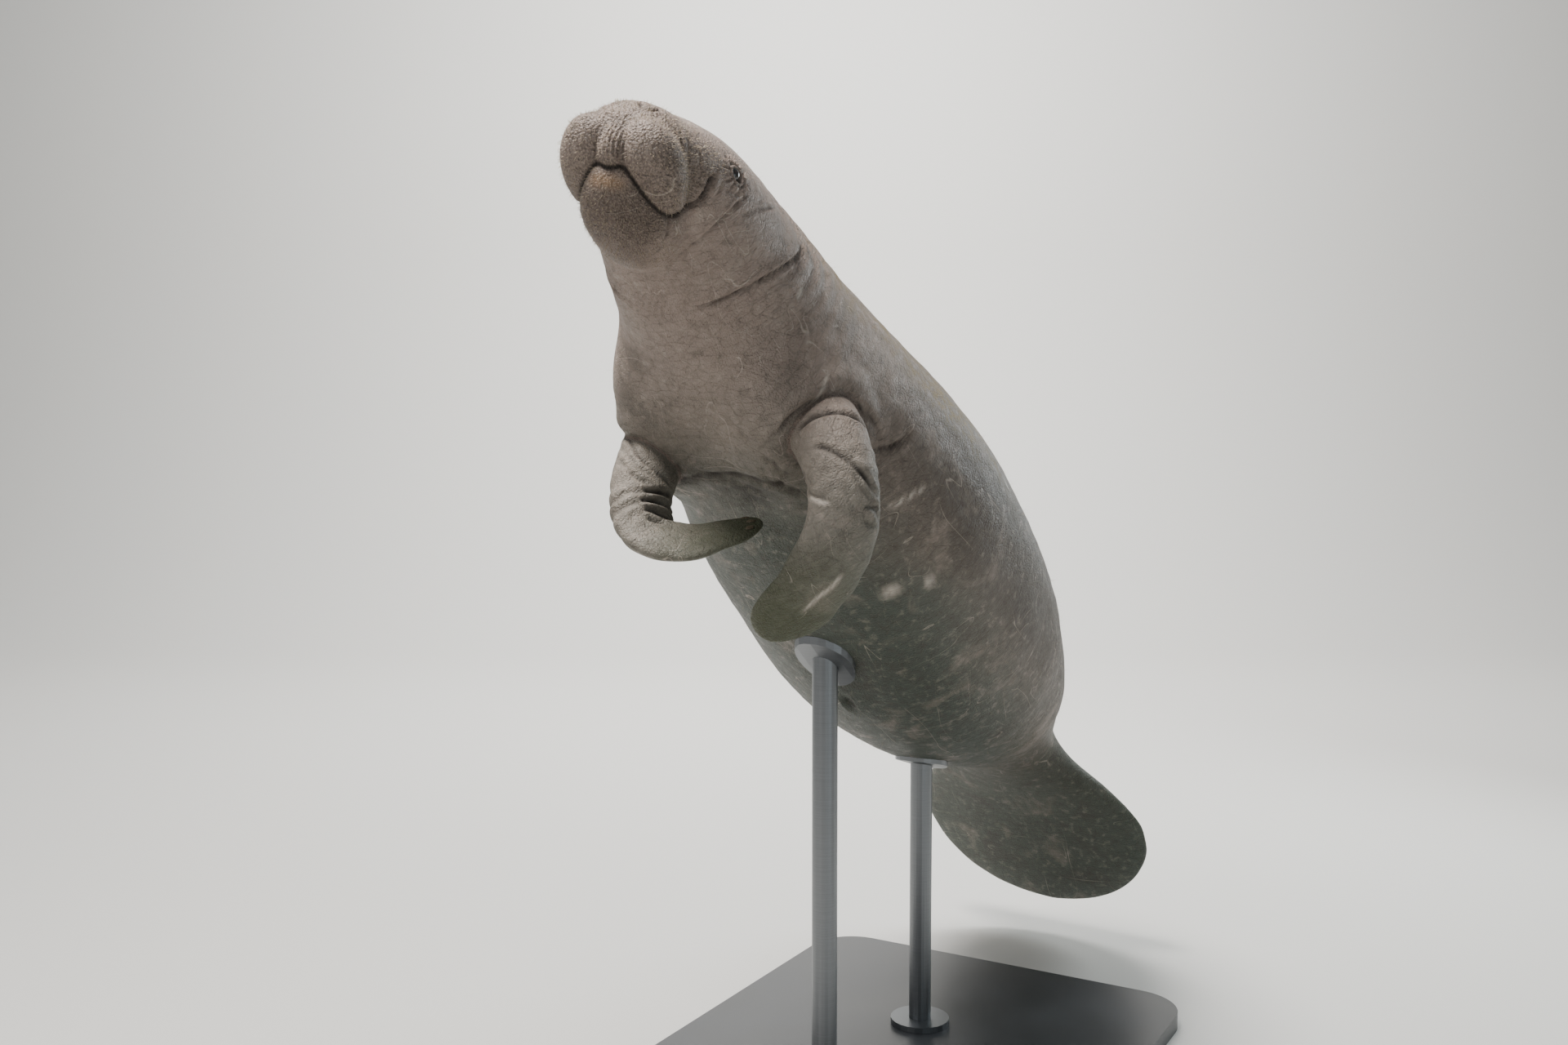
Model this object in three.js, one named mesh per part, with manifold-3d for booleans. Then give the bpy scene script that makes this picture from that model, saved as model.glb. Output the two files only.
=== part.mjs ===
// A life-size Florida manatee, head up and tail down as it treads water, held by a plain display stand.
// Millimetres, +Z up. The tail points towards +Y and the animal's left side is +X.
// The origin is the centre of the underside of the stand's base.
import * as THREE from "three";
import { mergeVertices } from "three/addons/utils/BufferGeometryUtils.js";
import Module from "manifold-3d";

const wasm = await Module();
wasm.setup();

// Driving dimensions of the animal
const LENGTH = 2900; // snout to tail tip, along the body line
const AROUND = 52; // facets round the body
const GAP = 0.35; // left between parts that touch
const MOUTH_GAP = 0.5; // the head's growth, along its rays, that the jaw is cut by

// The body line runs from the snout (0) to the tail tip (1). At each place it has a heading away
// from +Y, a drop below level and a roll, in degrees.
const LINE = {
  at: [0.05, 0.25, 0.45, 0.65, 0.8, 0.95],
  heading: [-14, 4, -5, -1, 2, 6],
  drop: [32, 41, 35, 34, 44, 63],
  roll: [12, 7, 4.5, 2.5, 0, -3],
};

// Sections across the body line: half width, height above the line and depth below it.
const SECTIONS = [
  { at: 0.0, half: 72, top: 42, bottom: 66 }, // snout
  { at: 0.021, half: 87, top: 64, bottom: 75 },
  { at: 0.041, half: 112, top: 99, bottom: 83 },
  { at: 0.062, half: 133, top: 129, bottom: 93 }, // eyes
  { at: 0.088, half: 151, top: 152, bottom: 112 },
  { at: 0.12, half: 168, top: 170, bottom: 138 }, // nape
  { at: 0.16, half: 196, top: 190, bottom: 170 }, // neck fold
  { at: 0.2, half: 228, top: 206, bottom: 200 },
  { at: 0.26, half: 270, top: 238, bottom: 234 }, // armpits
  { at: 0.34, half: 320, top: 279, bottom: 279 },
  { at: 0.42, half: 336, top: 300, bottom: 300 },
  { at: 0.5, half: 339, top: 308, bottom: 308 }, // navel
  { at: 0.58, half: 320, top: 284, bottom: 284 },
  { at: 0.66, half: 269, top: 224, bottom: 224 },
  { at: 0.72, half: 205, top: 155, bottom: 155 }, // vent
  { at: 0.76, half: 165, top: 105, bottom: 105 }, // narrowest tail stock
  { at: 0.8, half: 186, top: 70, bottom: 70 },
  { at: 0.84, half: 262, top: 48, bottom: 48 },
  { at: 0.88, half: 318, top: 36, bottom: 36 },
  { at: 0.9, half: 325, top: 32, bottom: 32 }, // widest paddle
  { at: 1.0, half: 325, top: 14, bottom: 14 },
];
const TIP_ROUND_FROM = 0.86; // share of a flipper's length past which its tip is rounded
const PADDLE_ROUND_FROM = 0.9; // behind this the paddle's outline is a half ellipse
const SNOUT_ROUND = 58; // the snout's tip is rounded over this length
const CAP_CENTRE = { s: 110, y: -35 }; // the head's front is seen from this point on the body line

// Fleshy lobes: centre and radii along the line, sideways and up, then tilts in degrees
const LIP_PAD = { s: 77, x: 46, y: -50, rs: 85, rx: 62, ry: 46, pitch: 23, yaw: 0, roll: 10 };
const UPPER_LIP = { s: 54, x: 0, y: -34, rs: 52, rx: 40, ry: 54, pitch: 0, yaw: 0, roll: 0 };
const JAW = { s: 147, y: -70, rs: 117, rx: 86, ry: 79, pitch: 8 };
const SHOULDER = { s: 665, x: 150, y: -105, rs: 170, rx: 74, ry: 112, pitch: 0, yaw: 0, roll: 0 };
const BLEND = { shoulder: 90, pad: 18, lip: 10 }; // how widely lobes run into the trunk

const EYE = { s: 176, x: 130, y: 41, radius: 12, sunk: 5 };
const LID = { ring: 14, thick: 5, long: 1.2, tall: 0.8, in: 2 };
const NOSTRIL = { s: 16, x: 27, y: 40, rs: 14, rx: 7, ry: 12 };
const NAVEL = { s: 1363, rs: 34, rx: 15, deep: 16 };
const VENT = { s: 2072, rs: 20, rx: 24, deep: 14 };

// The trunk's pieces, as shares of the length, with the sections that each is made from
const TRUNK = {
  neck: { from: 0.118, to: 0.19, rings: 6 },
  chest: { from: 0.19, to: 0.36, rings: 14 },
  belly: { from: 0.36, to: 0.6, rings: 12 },
  tail_stock: { from: 0.6, to: 0.77, rings: 11 },
};

// Flippers: stops along the limb, in body coordinates (along, sideways, up), each with the
// paddle's half width and half thickness. The width points along rootLay where twist is 0 and
// along tipLay where it is 1.
const FLIPPERS = {
  flipper_left: {
    stops: [
      { s: 652, x: 186, y: -95, half: 68, thick: 66, twist: 0 },
      { s: 629, x: 260, y: -157, half: 67, thick: 56, twist: 0 },
      { s: 650, x: 308, y: -215, half: 64, thick: 45, twist: 0 },
      { s: 701, x: 322, y: -281, half: 66, thick: 34, twist: 0 },
      { s: 757, x: 287, y: -347, half: 71, thick: 24, twist: 0 },
      { s: 806, x: 230, y: -400, half: 72, thick: 17, twist: 0 },
      { s: 849, x: 171, y: -446, half: 60, thick: 11, twist: 0 },
    ],
    rootLay: [0.52, 0.58, 0.62],
    tipLay: [0.52, 0.58, 0.62],
  },
  flipper_right: {
    stops: [
      { s: 686, x: -164, y: -179, half: 62, thick: 58, twist: 0 },
      { s: 669, x: -130, y: -254, half: 62, thick: 48, twist: 0.05 },
      { s: 677, x: -98, y: -328, half: 63, thick: 40, twist: 0.25 },
      { s: 693, x: -52, y: -371, half: 67, thick: 31, twist: 0.75 },
      { s: 716, x: 15, y: -359, half: 70, thick: 21, twist: 1 },
      { s: 733, x: 68, y: -318, half: 64, thick: 15, twist: 1 },
      { s: 752, x: 115, y: -269, half: 50, thick: 10, twist: 1 },
    ],
    rootLay: [0.81, 0.4, 0.43],
    tipLay: [0.43, -0.5, 0.75],
  },
};
const NAIL = { count: 3, long: 8, wide: 7, tall: 11, raised: 2, spread: 0.44, back: 0.22, curve: 0.5 };

// Display stand
const BASE = { long: 1500, wide: 1000, thick: 40, corner: 120 };
const TAIL_CLEARANCE = 60; // between the tail tip and the base
const ROD = { radius: 26, foot: 70, footHeight: 14, saddle: 62, saddleThick: 12 };
const RODS = { stand_rod_front: 0.33, stand_rod_rear: 0.56 }; // where each meets the body line
const BALANCE_AT = 0.44; // the place on the body line above the base's centre

const COLOURS = {
  back: 0x8d8179,
  face: 0x978a80,
  belly: 0x6f776f,
  paddle: 0x66706a,
  flipper: 0x857f7c,
  eye: 0x14110f,
  stand: 0x3c3e40,
};

const radians = THREE.MathUtils.degToRad;

// A smooth curve through values at given places: cubic, its slope at each place the mean of its
// neighbours' slopes.
function through(places, values, at) {
  const last = places.length - 1;
  if (at <= places[0]) return values[0];
  if (at >= places[last]) return values[last];
  const i = places.findIndex((p) => p > at) - 1;
  const slope = (k) => {
    const a = Math.max(k - 1, 0),
      b = Math.min(k + 1, last);
    return (values[b] - values[a]) / (places[b] - places[a]);
  };
  const span = places[i + 1] - places[i],
    t = (at - places[i]) / span,
    t2 = t * t,
    t3 = t2 * t;
  return (
    (2 * t3 - 3 * t2 + 1) * values[i] +
    (t3 - 2 * t2 + t) * span * slope(i) +
    (3 * t2 - 2 * t3) * values[i + 1] +
    (t3 - t2) * span * slope(i + 1)
  );
}

// The body line, laid out by small steps, with a frame at each: along, left and up
const STEPS = 290;
const line = [];
for (let i = 0; i <= STEPS; i++) {
  const at = i / STEPS;
  const heading = radians(through(LINE.at, LINE.heading, at)),
    drop = radians(through(LINE.at, LINE.drop, at)),
    roll = radians(through(LINE.at, LINE.roll, at));
  const along = new THREE.Vector3(
    Math.cos(drop) * Math.sin(heading),
    Math.cos(drop) * Math.cos(heading),
    -Math.sin(drop),
  );
  const plumb = new THREE.Vector3(0, 0, 1).addScaledVector(along, -along.z).normalize();
  const side = new THREE.Vector3().crossVectors(along, plumb);
  const up = plumb.clone().multiplyScalar(Math.cos(roll)).addScaledVector(side, Math.sin(roll));
  const left = side.clone().multiplyScalar(Math.cos(roll)).addScaledVector(plumb, -Math.sin(roll));
  const place = new THREE.Vector3();
  if (i > 0) {
    const before = line[i - 1];
    place
      .copy(before.place)
      .addScaledVector(along, LENGTH / STEPS / 2)
      .addScaledVector(before.along, LENGTH / STEPS / 2);
  }
  line.push({ place, along, left, up });
}

// Body coordinates (along, sideways, up) to the part's frame
const offset = new THREE.Vector3();
function bend(s, x, y) {
  const at = THREE.MathUtils.clamp((s / LENGTH) * STEPS, 0, STEPS - 1e-6),
    i = Math.floor(at),
    t = at - i,
    a = line[i],
    b = line[i + 1];
  const beyond = s - THREE.MathUtils.clamp(s, 0, LENGTH);
  const mix = (key) => a[key].clone().lerp(b[key], t);
  return mix("place")
    .addScaledVector(mix("left").normalize(), x)
    .addScaledVector(mix("up").normalize(), y)
    .addScaledVector(mix("along").normalize(), beyond)
    .add(offset);
}

// The section at a place: half width, half height and the height of its middle
const places = SECTIONS.map((one) => one.at);
const halves = SECTIONS.map((one) => one.half);
const tops = SECTIONS.map((one) => one.top);
const bottoms = SECTIONS.map((one) => one.bottom);
function section(s) {
  const at = s / LENGTH;
  let round = 1;
  if (at > PADDLE_ROUND_FROM) {
    const past = (at - PADDLE_ROUND_FROM) / (1 - PADDLE_ROUND_FROM);
    round = Math.sqrt(Math.max(0, 1 - past * past));
  }
  if (s < SNOUT_ROUND) {
    const before = (SNOUT_ROUND - s) / SNOUT_ROUND;
    round = Math.sqrt(Math.max(0, 1 - before * before));
  }
  const top = through(places, tops, at),
    bottom = through(places, bottoms, at);
  const thin = at > PADDLE_ROUND_FROM ? Math.sqrt(round) : round;
  return {
    half: Math.max(through(places, halves, at) * round, 0.01),
    tall: Math.max(((top + bottom) / 2) * thin, 0.01),
    middle: (top - bottom) / 2,
  };
}

// Distances, less than nothing inside: along a ray from the form's middle
function tubeDistance(s, x, y) {
  if (s <= 0 || s >= LENGTH) return 50;
  const { half, tall, middle } = section(s),
    up = y - middle;
  const share = Math.hypot(x / half, up / tall),
    reach = Math.hypot(x, up);
  return share < 1e-6 ? -tall : (reach * (share - 1)) / share;
}
function lobeDistance(lobe, side, s, x, y) {
  const a = radians(lobe.yaw) * side,
    b = radians(lobe.pitch),
    c = radians(lobe.roll) * side;
  const ds = s - lobe.s,
    dx = x - side * lobe.x,
    dy = y - lobe.y;
  const s1 = ds * Math.cos(a) + dx * Math.sin(a),
    x1 = -ds * Math.sin(a) + dx * Math.cos(a);
  const s2 = s1 * Math.cos(b) - dy * Math.sin(b),
    y1 = s1 * Math.sin(b) + dy * Math.cos(b);
  const x2 = x1 * Math.cos(c) - y1 * Math.sin(c),
    y2 = x1 * Math.sin(c) + y1 * Math.cos(c);
  const share = Math.hypot(s2 / lobe.rs, x2 / lobe.rx, y2 / lobe.ry),
    reach = Math.hypot(s2, x2, y2);
  return share < 1e-6 ? -lobe.rx : (reach * (share - 1)) / share;
}
const blended = (a, b, k) => {
  const h = Math.max(k - Math.abs(a - b), 0) / k;
  return Math.min(a, b) - (h * h * k) / 4;
};
const lobes = (lobe, s, x, y) => lobeDistance(lobe, 1, s, Math.abs(x), y);
function bodyDistance(s, x, y) {
  const trunk = blended(tubeDistance(s, x, y), lobes(SHOULDER, s, x, y), BLEND.shoulder);
  const pads = blended(trunk, lobes(LIP_PAD, s, x, y), BLEND.pad);
  return blended(pads, lobes(UPPER_LIP, s, x, y), BLEND.lip);
}

// How far the body reaches from a point on its line in one direction: looked for from the outside in
const FAR = 460;
function reachOf(from, way) {
  const outside = (r) => bodyDistance(from.s + way.s * r, from.x + way.x * r, from.y + way.y * r) > 0;
  let high = FAR;
  const stride = 6;
  while (high > stride && outside(high - stride)) high -= stride;
  let low = Math.max(high - stride, 0);
  for (let i = 0; i < 16; i++) {
    const half = (low + high) / 2;
    if (outside(half)) high = half;
    else low = half;
  }
  return low;
}

const turnOf = (k, count = AROUND) => ((k + 0.5) / count) * 2 * Math.PI;

// One ring of body points across the line at s, grown outwards by grow
function ringAt(s, grow = 0) {
  const one = section(s),
    flat = s > 0.3 * LENGTH;
  return Array.from({ length: AROUND }, (_, k) => {
    const turn = turnOf(k),
      sin = Math.sin(turn),
      cos = Math.cos(turn);
    if (flat) return bend(s, (one.half + grow) * sin, one.middle + (one.tall + grow) * cos);
    const back = THREE.MathUtils.clamp((s - CAP_CENTRE.s) / 200, 0, 1);
    const middle = THREE.MathUtils.lerp(CAP_CENTRE.y, one.middle, back);
    const reach = reachOf({ s, x: 0, y: middle }, { s: 0, x: sin, y: cos }) + grow;
    return bend(s, reach * sin, middle + reach * cos);
  });
}
// One ring on the head's front, seen from the cap's centre at an angle from straight ahead
function capRing(angle, grow = 0) {
  const ahead = -Math.cos(angle),
    out = Math.sin(angle);
  return Array.from({ length: AROUND }, (_, k) => {
    const turn = turnOf(k),
      way = { s: ahead, x: out * Math.sin(turn), y: out * Math.cos(turn) };
    const reach = reachOf({ s: CAP_CENTRE.s, x: 0, y: CAP_CENTRE.y }, way) + grow;
    return bend(CAP_CENTRE.s + way.s * reach, way.x * reach, CAP_CENTRE.y + way.y * reach);
  });
}

// A closed mesh of position and index as a solid
function solidOf(vertices, triangles) {
  const make = (index) =>
    new wasm.Manifold(
      new wasm.Mesh({
        numProp: 3,
        vertProperties: Float32Array.from(vertices),
        triVerts: Uint32Array.from(index),
      }),
    );
  const made = make(triangles);
  if (made.volume() > 0) return made;
  const turned = [];
  for (let i = 0; i < triangles.length; i += 3)
    turned.push(triangles[i], triangles[i + 2], triangles[i + 1]);
  return make(turned);
}
// Rings of points joined into a tube with closed ends
function skinned(rings) {
  const count = rings[0].length,
    vertices = [],
    triangles = [];
  for (const ring of rings) for (const p of ring) vertices.push(p.x, p.y, p.z);
  for (let i = 0; i + 1 < rings.length; i++)
    for (let k = 0; k < count; k++) {
      const a = i * count + k,
        b = i * count + ((k + 1) % count),
        c = a + count,
        d = b + count;
      triangles.push(a, b, d, a, d, c);
    }
  const close = (first, flip) => {
    const middle = vertices.length / 3,
      centre = new THREE.Vector3();
    for (let k = 0; k < count; k++)
      centre.add(new THREE.Vector3().fromArray(vertices, (first + k) * 3));
    centre.divideScalar(count);
    vertices.push(centre.x, centre.y, centre.z);
    for (let k = 0; k < count; k++) {
      const a = first + k,
        b = first + ((k + 1) % count);
      if (flip) triangles.push(middle, b, a);
      else triangles.push(middle, a, b);
    }
  };
  close(0, true);
  close((rings.length - 1) * count, false);
  return solidOf(vertices, triangles);
}
// A three.js geometry as a solid
function fromGeometry(geometry) {
  const bare = geometry.clone();
  bare.deleteAttribute("normal");
  bare.deleteAttribute("uv");
  const merged = mergeVertices(bare, 1e-3);
  return solidOf(merged.attributes.position.array, merged.index.array);
}
// An ellipsoid set in body coordinates
function ball(s, x, y, rs, rx, ry, detail = 16) {
  const geometry = new THREE.SphereGeometry(1, detail, detail / 2 + 2);
  const spots = geometry.attributes.position;
  for (let i = 0; i < spots.count; i++) {
    const p = bend(s + spots.getX(i) * rs, x + spots.getY(i) * rx, y + spots.getZ(i) * ry);
    spots.setXYZ(i, p.x, p.y, p.z);
  }
  return fromGeometry(geometry);
}
// The largest closed surface of a solid
function largest(solid) {
  return solid.decompose().sort((a, b) => b.volume() - a.volume())[0];
}
const spaced = (from, to, count) =>
  Array.from({ length: count }, (_, i) => from + ((to - from) * i) / (count - 1));

// The upper head: the cap's rings from ahead to sideways, then sections back to the nape
const HEAD = { end: 0.118 * LENGTH - GAP / 2, capRings: 20, rings: 14 };
function headSolid(grow = 0) {
  const rings = spaced(3, 90, HEAD.capRings).map((degrees) => capRing(radians(degrees), grow));
  for (const s of spaced(CAP_CENTRE.s, HEAD.end, HEAD.rings).slice(1)) rings.push(ringAt(s, grow));
  return skinned(rings);
}
// The lower jaw's lobe as a solid
function jawSolid() {
  const geometry = new THREE.SphereGeometry(1, 36, 26),
    spots = geometry.attributes.position,
    turn = new THREE.Matrix4().makeRotationY(radians(JAW.pitch));
  for (let i = 0; i < spots.count; i++) {
    const p = new THREE.Vector3(spots.getY(i) * JAW.rs, spots.getX(i) * JAW.rx, spots.getZ(i) * JAW.ry);
    p.applyMatrix4(turn);
    const q = bend(JAW.s + p.x, p.y, JAW.y + p.z);
    spots.setXYZ(i, q.x, q.y, q.z);
  }
  return fromGeometry(geometry);
}

// A length of the body between two places, and the whole body grown outwards by a little
const stationsOf = ({ from, to, rings }) => spaced(from * LENGTH + GAP / 2, to * LENGTH - GAP / 2, rings);
const length = (piece) => skinned(stationsOf(piece).map((s) => ringAt(s)));
function grownTrunk(grow) {
  const stations = Object.values(TRUNK).flatMap(stationsOf);
  return skinned(stations.map((s) => ringAt(s, grow)));
}
// The tail paddle: sections closer together towards its round end
function paddleSolid(from, count) {
  const first = from * LENGTH + GAP / 2,
    last = LENGTH * 0.9994;
  const rings = spaced(0, 1, count).map((t) =>
    ringAt(first + (last - first) * Math.sin((t * Math.PI) / 2) ** 0.9),
  );
  return skinned(rings);
}

// A flipper: ellipses along a curve through its stops, its width kept along its lay
function flipperSolid({ stops, rootLay, tipLay }, count = 22, around = 24) {
  const marks = stops.map((_, i) => i);
  const value = (key, t) => through(marks, stops.map((one) => one[key]), t);
  const spot = (t) => new THREE.Vector3(value("s", t), value("x", t), value("y", t));
  const end = stops.length - 1;
  const roundFrom = TIP_ROUND_FROM * end;
  const rings = spaced(0, 1, count).map((share) => {
    const t = end * Math.sin((share * Math.PI) / 2) * 0.999,
      centre = spot(t);
    const ahead = spot(Math.min(t + 0.02, end)).sub(spot(Math.max(t - 0.02, 0))).normalize();
    const lay = new THREE.Vector3(...rootLay).lerp(new THREE.Vector3(...tipLay), value("twist", t));
    const wide = lay.addScaledVector(ahead, -ahead.dot(lay)).normalize();
    const flat = new THREE.Vector3().crossVectors(ahead, wide);
    const past = Math.max(0, (t - roundFrom) / (end - roundFrom)),
      round = Math.sqrt(Math.max(0, 1 - past * past));
    const half = value("half", t) * Math.max(round, 0.03),
      thick = value("thick", t) * Math.max(Math.sqrt(round), 0.1);
    return Array.from({ length: around }, (_, k) => {
      const turn = turnOf(k, around);
      const p = centre
        .clone()
        .addScaledVector(wide, half * Math.cos(turn))
        .addScaledVector(flat, thick * Math.sin(turn));
      return bend(p.x, p.y, p.z);
    });
  });
  return { solid: skinned(rings), spot, wide: tipLay, end, half: (t) => value("half", t) };
}
// Nails near the tip of a flipper, side by side across its edge
function nails({ spot, wide, end, half }) {
  return spaced(-NAIL.spread, NAIL.spread, NAIL.count).map((share) => {
    const t = end - NAIL.back - NAIL.curve * share * share,
      p = spot(t).addScaledVector(new THREE.Vector3(...wide), half(t) * share);
    return ball(p.x, p.y, p.z - NAIL.raised, NAIL.long, NAIL.wide, NAIL.tall, 10);
  });
}

// Sets the whole on the base: the balance point over the origin, the lowest point of the tail
// a clear way above the base's top
const balance = bend(BALANCE_AT * LENGTH, 0, 0);
const tailLow = Math.min(...spaced(0.85, 0.999, 24).flatMap((at) => ringAt(at * LENGTH).map((p) => p.z)));
offset.set(-balance.x, -balance.y, BASE.thick + TAIL_CLEARANCE - tailLow);

const group = new THREE.Group();
function add(name, solid, colour, roughness = 0.6, metalness = 0) {
  const mesh = solid.getMesh(),
    position = new Float32Array(mesh.numVert * 3);
  for (let i = 0; i < mesh.numVert; i++)
    position.set(mesh.vertProperties.subarray(i * mesh.numProp, i * mesh.numProp + 3), i * 3);
  const geometry = new THREE.BufferGeometry(),
    finish = new THREE.MeshStandardMaterial({ color: colour, roughness, metalness });
  geometry.setAttribute("position", new THREE.BufferAttribute(position, 3));
  geometry.setIndex(new THREE.BufferAttribute(mesh.triVerts, 1));
  const made = new THREE.Mesh(geometry, finish);
  made.name = name;
  group.add(made);
}

// Head with its lids, eyes' sockets and nostrils, and the lower jaw that closes against its lips
function face() {
  let head = headSolid();
  for (const side of [1, -1]) {
    const lid = new THREE.TorusGeometry(LID.ring, LID.thick, 7, 18);
    const spots = lid.attributes.position;
    for (let i = 0; i < spots.count; i++) {
      const p = bend(
        EYE.s + spots.getX(i) * LID.long,
        side * (EYE.x - LID.in + spots.getZ(i)),
        EYE.y + spots.getY(i) * LID.tall,
      );
      spots.setXYZ(i, p.x, p.y, p.z);
    }
    head = head.add(fromGeometry(lid));
    const x = side * (EYE.x - EYE.sunk);
    const globe = (radius) => ball(EYE.s, x, EYE.y, radius, radius, radius, 16);
    head = head.subtract(globe(EYE.radius + GAP));
    add(side > 0 ? "eye_left" : "eye_right", globe(EYE.radius), COLOURS.eye, 0.15);
    const nostril = ball(NOSTRIL.s, side * NOSTRIL.x, NOSTRIL.y, NOSTRIL.rs, NOSTRIL.rx, NOSTRIL.ry, 12);
    head = head.subtract(nostril);
  }
  add("head", largest(head), COLOURS.face);
  add("lower_jaw", largest(jawSolid().subtract(headSolid(MOUTH_GAP))), COLOURS.face);
}

function torso() {
  add("neck", length(TRUNK.neck), COLOURS.back);
  add("chest", length(TRUNK.chest), COLOURS.back);
  const navel = ball(NAVEL.s, 0, -section(NAVEL.s).tall, NAVEL.rs, NAVEL.rx, NAVEL.deep, 12);
  add("belly", length(TRUNK.belly).subtract(navel), COLOURS.belly);
  const vent = ball(VENT.s, 0, -section(VENT.s).tall, VENT.rs, VENT.rx, VENT.deep, 12);
  add("tail_stock", length(TRUNK.tail_stock).subtract(vent), COLOURS.belly);
  add("tail_paddle", paddleSolid(0.77, 16), COLOURS.paddle);
}

function limbs() {
  const near = grownTrunk(GAP);
  for (const [name, shape] of Object.entries(FLIPPERS)) {
    const flipper = flipperSolid(shape);
    let solid = flipper.solid;
    for (const nail of nails(flipper)) solid = solid.add(nail);
    add(name, largest(solid.subtract(near)), COLOURS.flipper);
  }
}

function stand() {
  const x = BASE.wide / 2 - BASE.corner,
    y = BASE.long / 2 - BASE.corner;
  const outline = new THREE.Shape();
  outline.absarc(x, y, BASE.corner, 0, Math.PI / 2);
  outline.absarc(-x, y, BASE.corner, Math.PI / 2, Math.PI);
  outline.absarc(-x, -y, BASE.corner, Math.PI, 1.5 * Math.PI);
  outline.absarc(x, -y, BASE.corner, 1.5 * Math.PI, 2 * Math.PI);
  const settings = { depth: BASE.thick, bevelEnabled: false, curveSegments: 8 },
    plate = new THREE.ExtrudeGeometry(outline, settings);
  add("stand_base", fromGeometry(plate), COLOURS.stand, 0.5, 0.4);
  const touching = grownTrunk(GAP),
    near = grownTrunk(ROD.saddleThick);
  for (const [name, at] of Object.entries(RODS)) {
    const top = bend(at * LENGTH, 0, 0);
    const upright = (radius, from, to) => {
      const geometry = new THREE.CylinderGeometry(radius, radius, to - from, 24);
      geometry.rotateX(Math.PI / 2).translate(top.x, top.y, (from + to) / 2);
      return fromGeometry(geometry);
    };
    const floor = BASE.thick + GAP;
    const rod = upright(ROD.radius, floor, top.z)
      .add(upright(ROD.foot, floor, floor + ROD.footHeight))
      .add(upright(ROD.saddle, floor, top.z).intersect(near));
    const below = largest(rod.subtract(touching));
    add(name, below, COLOURS.stand, 0.4, 0.6);
  }
}

face();
torso();
limbs();
stand();

export default group;
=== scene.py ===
import math

import bpy
import numpy as np
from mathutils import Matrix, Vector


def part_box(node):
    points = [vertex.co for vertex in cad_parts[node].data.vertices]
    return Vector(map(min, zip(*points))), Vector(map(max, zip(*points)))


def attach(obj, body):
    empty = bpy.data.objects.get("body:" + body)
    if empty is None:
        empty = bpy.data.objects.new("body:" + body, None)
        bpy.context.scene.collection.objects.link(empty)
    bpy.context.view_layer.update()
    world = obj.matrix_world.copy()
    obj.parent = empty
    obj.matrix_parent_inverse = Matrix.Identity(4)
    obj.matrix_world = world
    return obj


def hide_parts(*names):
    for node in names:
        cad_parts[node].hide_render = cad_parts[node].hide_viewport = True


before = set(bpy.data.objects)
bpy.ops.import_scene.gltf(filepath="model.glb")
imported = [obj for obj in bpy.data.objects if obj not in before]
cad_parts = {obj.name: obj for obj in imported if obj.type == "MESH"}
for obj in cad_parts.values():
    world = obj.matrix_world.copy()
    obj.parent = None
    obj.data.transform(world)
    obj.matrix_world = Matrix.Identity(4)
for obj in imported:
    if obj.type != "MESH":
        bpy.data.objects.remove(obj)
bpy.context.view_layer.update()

# Sizes of the animal, in metres. Body coordinates are s along the body line from the snout,
# x towards the animal's left and y towards its back.
LENGTH = 2.9
LINE = {
    "at": [0.05, 0.25, 0.45, 0.65, 0.8, 0.95],
    "heading": [-14, 4, -5, -1, 2, 6],
    "drop": [32, 41, 35, 34, 44, 63],
    "roll": [12, 7, 4.5, 2.5, 0, -3],
}
# Sections: share of the length, half width, height above the line, depth below it
SECTIONS = np.array([
    (0.0, 0.072, 0.042, 0.066), (0.021, 0.087, 0.064, 0.075), (0.041, 0.112, 0.099, 0.083),
    (0.062, 0.133, 0.129, 0.093), (0.088, 0.151, 0.152, 0.112), (0.12, 0.168, 0.170, 0.138),
    (0.16, 0.196, 0.190, 0.170), (0.2, 0.228, 0.206, 0.200), (0.26, 0.270, 0.238, 0.234),
    (0.34, 0.320, 0.279, 0.279), (0.42, 0.336, 0.300, 0.300), (0.5, 0.339, 0.308, 0.308),
    (0.58, 0.320, 0.284, 0.284), (0.66, 0.269, 0.224, 0.224), (0.72, 0.205, 0.155, 0.155),
    (0.76, 0.165, 0.105, 0.105), (0.8, 0.186, 0.070, 0.070), (0.84, 0.262, 0.048, 0.048),
    (0.88, 0.318, 0.036, 0.036), (0.9, 0.325, 0.032, 0.032), (1.0, 0.325, 0.014, 0.014),
])
PADDLE_ROUND_FROM = 0.9
TIP_ROUND_FROM = 0.86
SNOUT_ROUND = 0.058
CAP_CENTRE = (0.110, -0.035)  # s and y of the point that the head's front is seen from
LIP_PAD = dict(s=0.077, x=0.046, y=-0.050, rs=0.085, rx=0.062, ry=0.046, pitch=23, yaw=0, roll=10)
UPPER_LIP = dict(s=0.054, x=0, y=-0.034, rs=0.052, rx=0.040, ry=0.054, pitch=0, yaw=0, roll=0)
JAW = dict(s=0.147, x=0, y=-0.070, rs=0.117, rx=0.086, ry=0.079, pitch=8, yaw=0, roll=0)
SHOULDER = dict(s=0.665, x=0.150, y=-0.105, rs=0.170, rx=0.074, ry=0.112, pitch=0, yaw=0, roll=0)
BLEND = dict(shoulder=0.09, pad=0.018, lip=0.010, jaw=0.014, mouth=0.003)
EYE = np.array([0.176, 0.130, 0.041])
EYE_SUNK = 0.005
EYEBALL = dict(radius=0.012, sunk=0.0088)
NAIL = dict(tall=0.0026, long=0.009, wide=0.0065)  # half sizes
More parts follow.
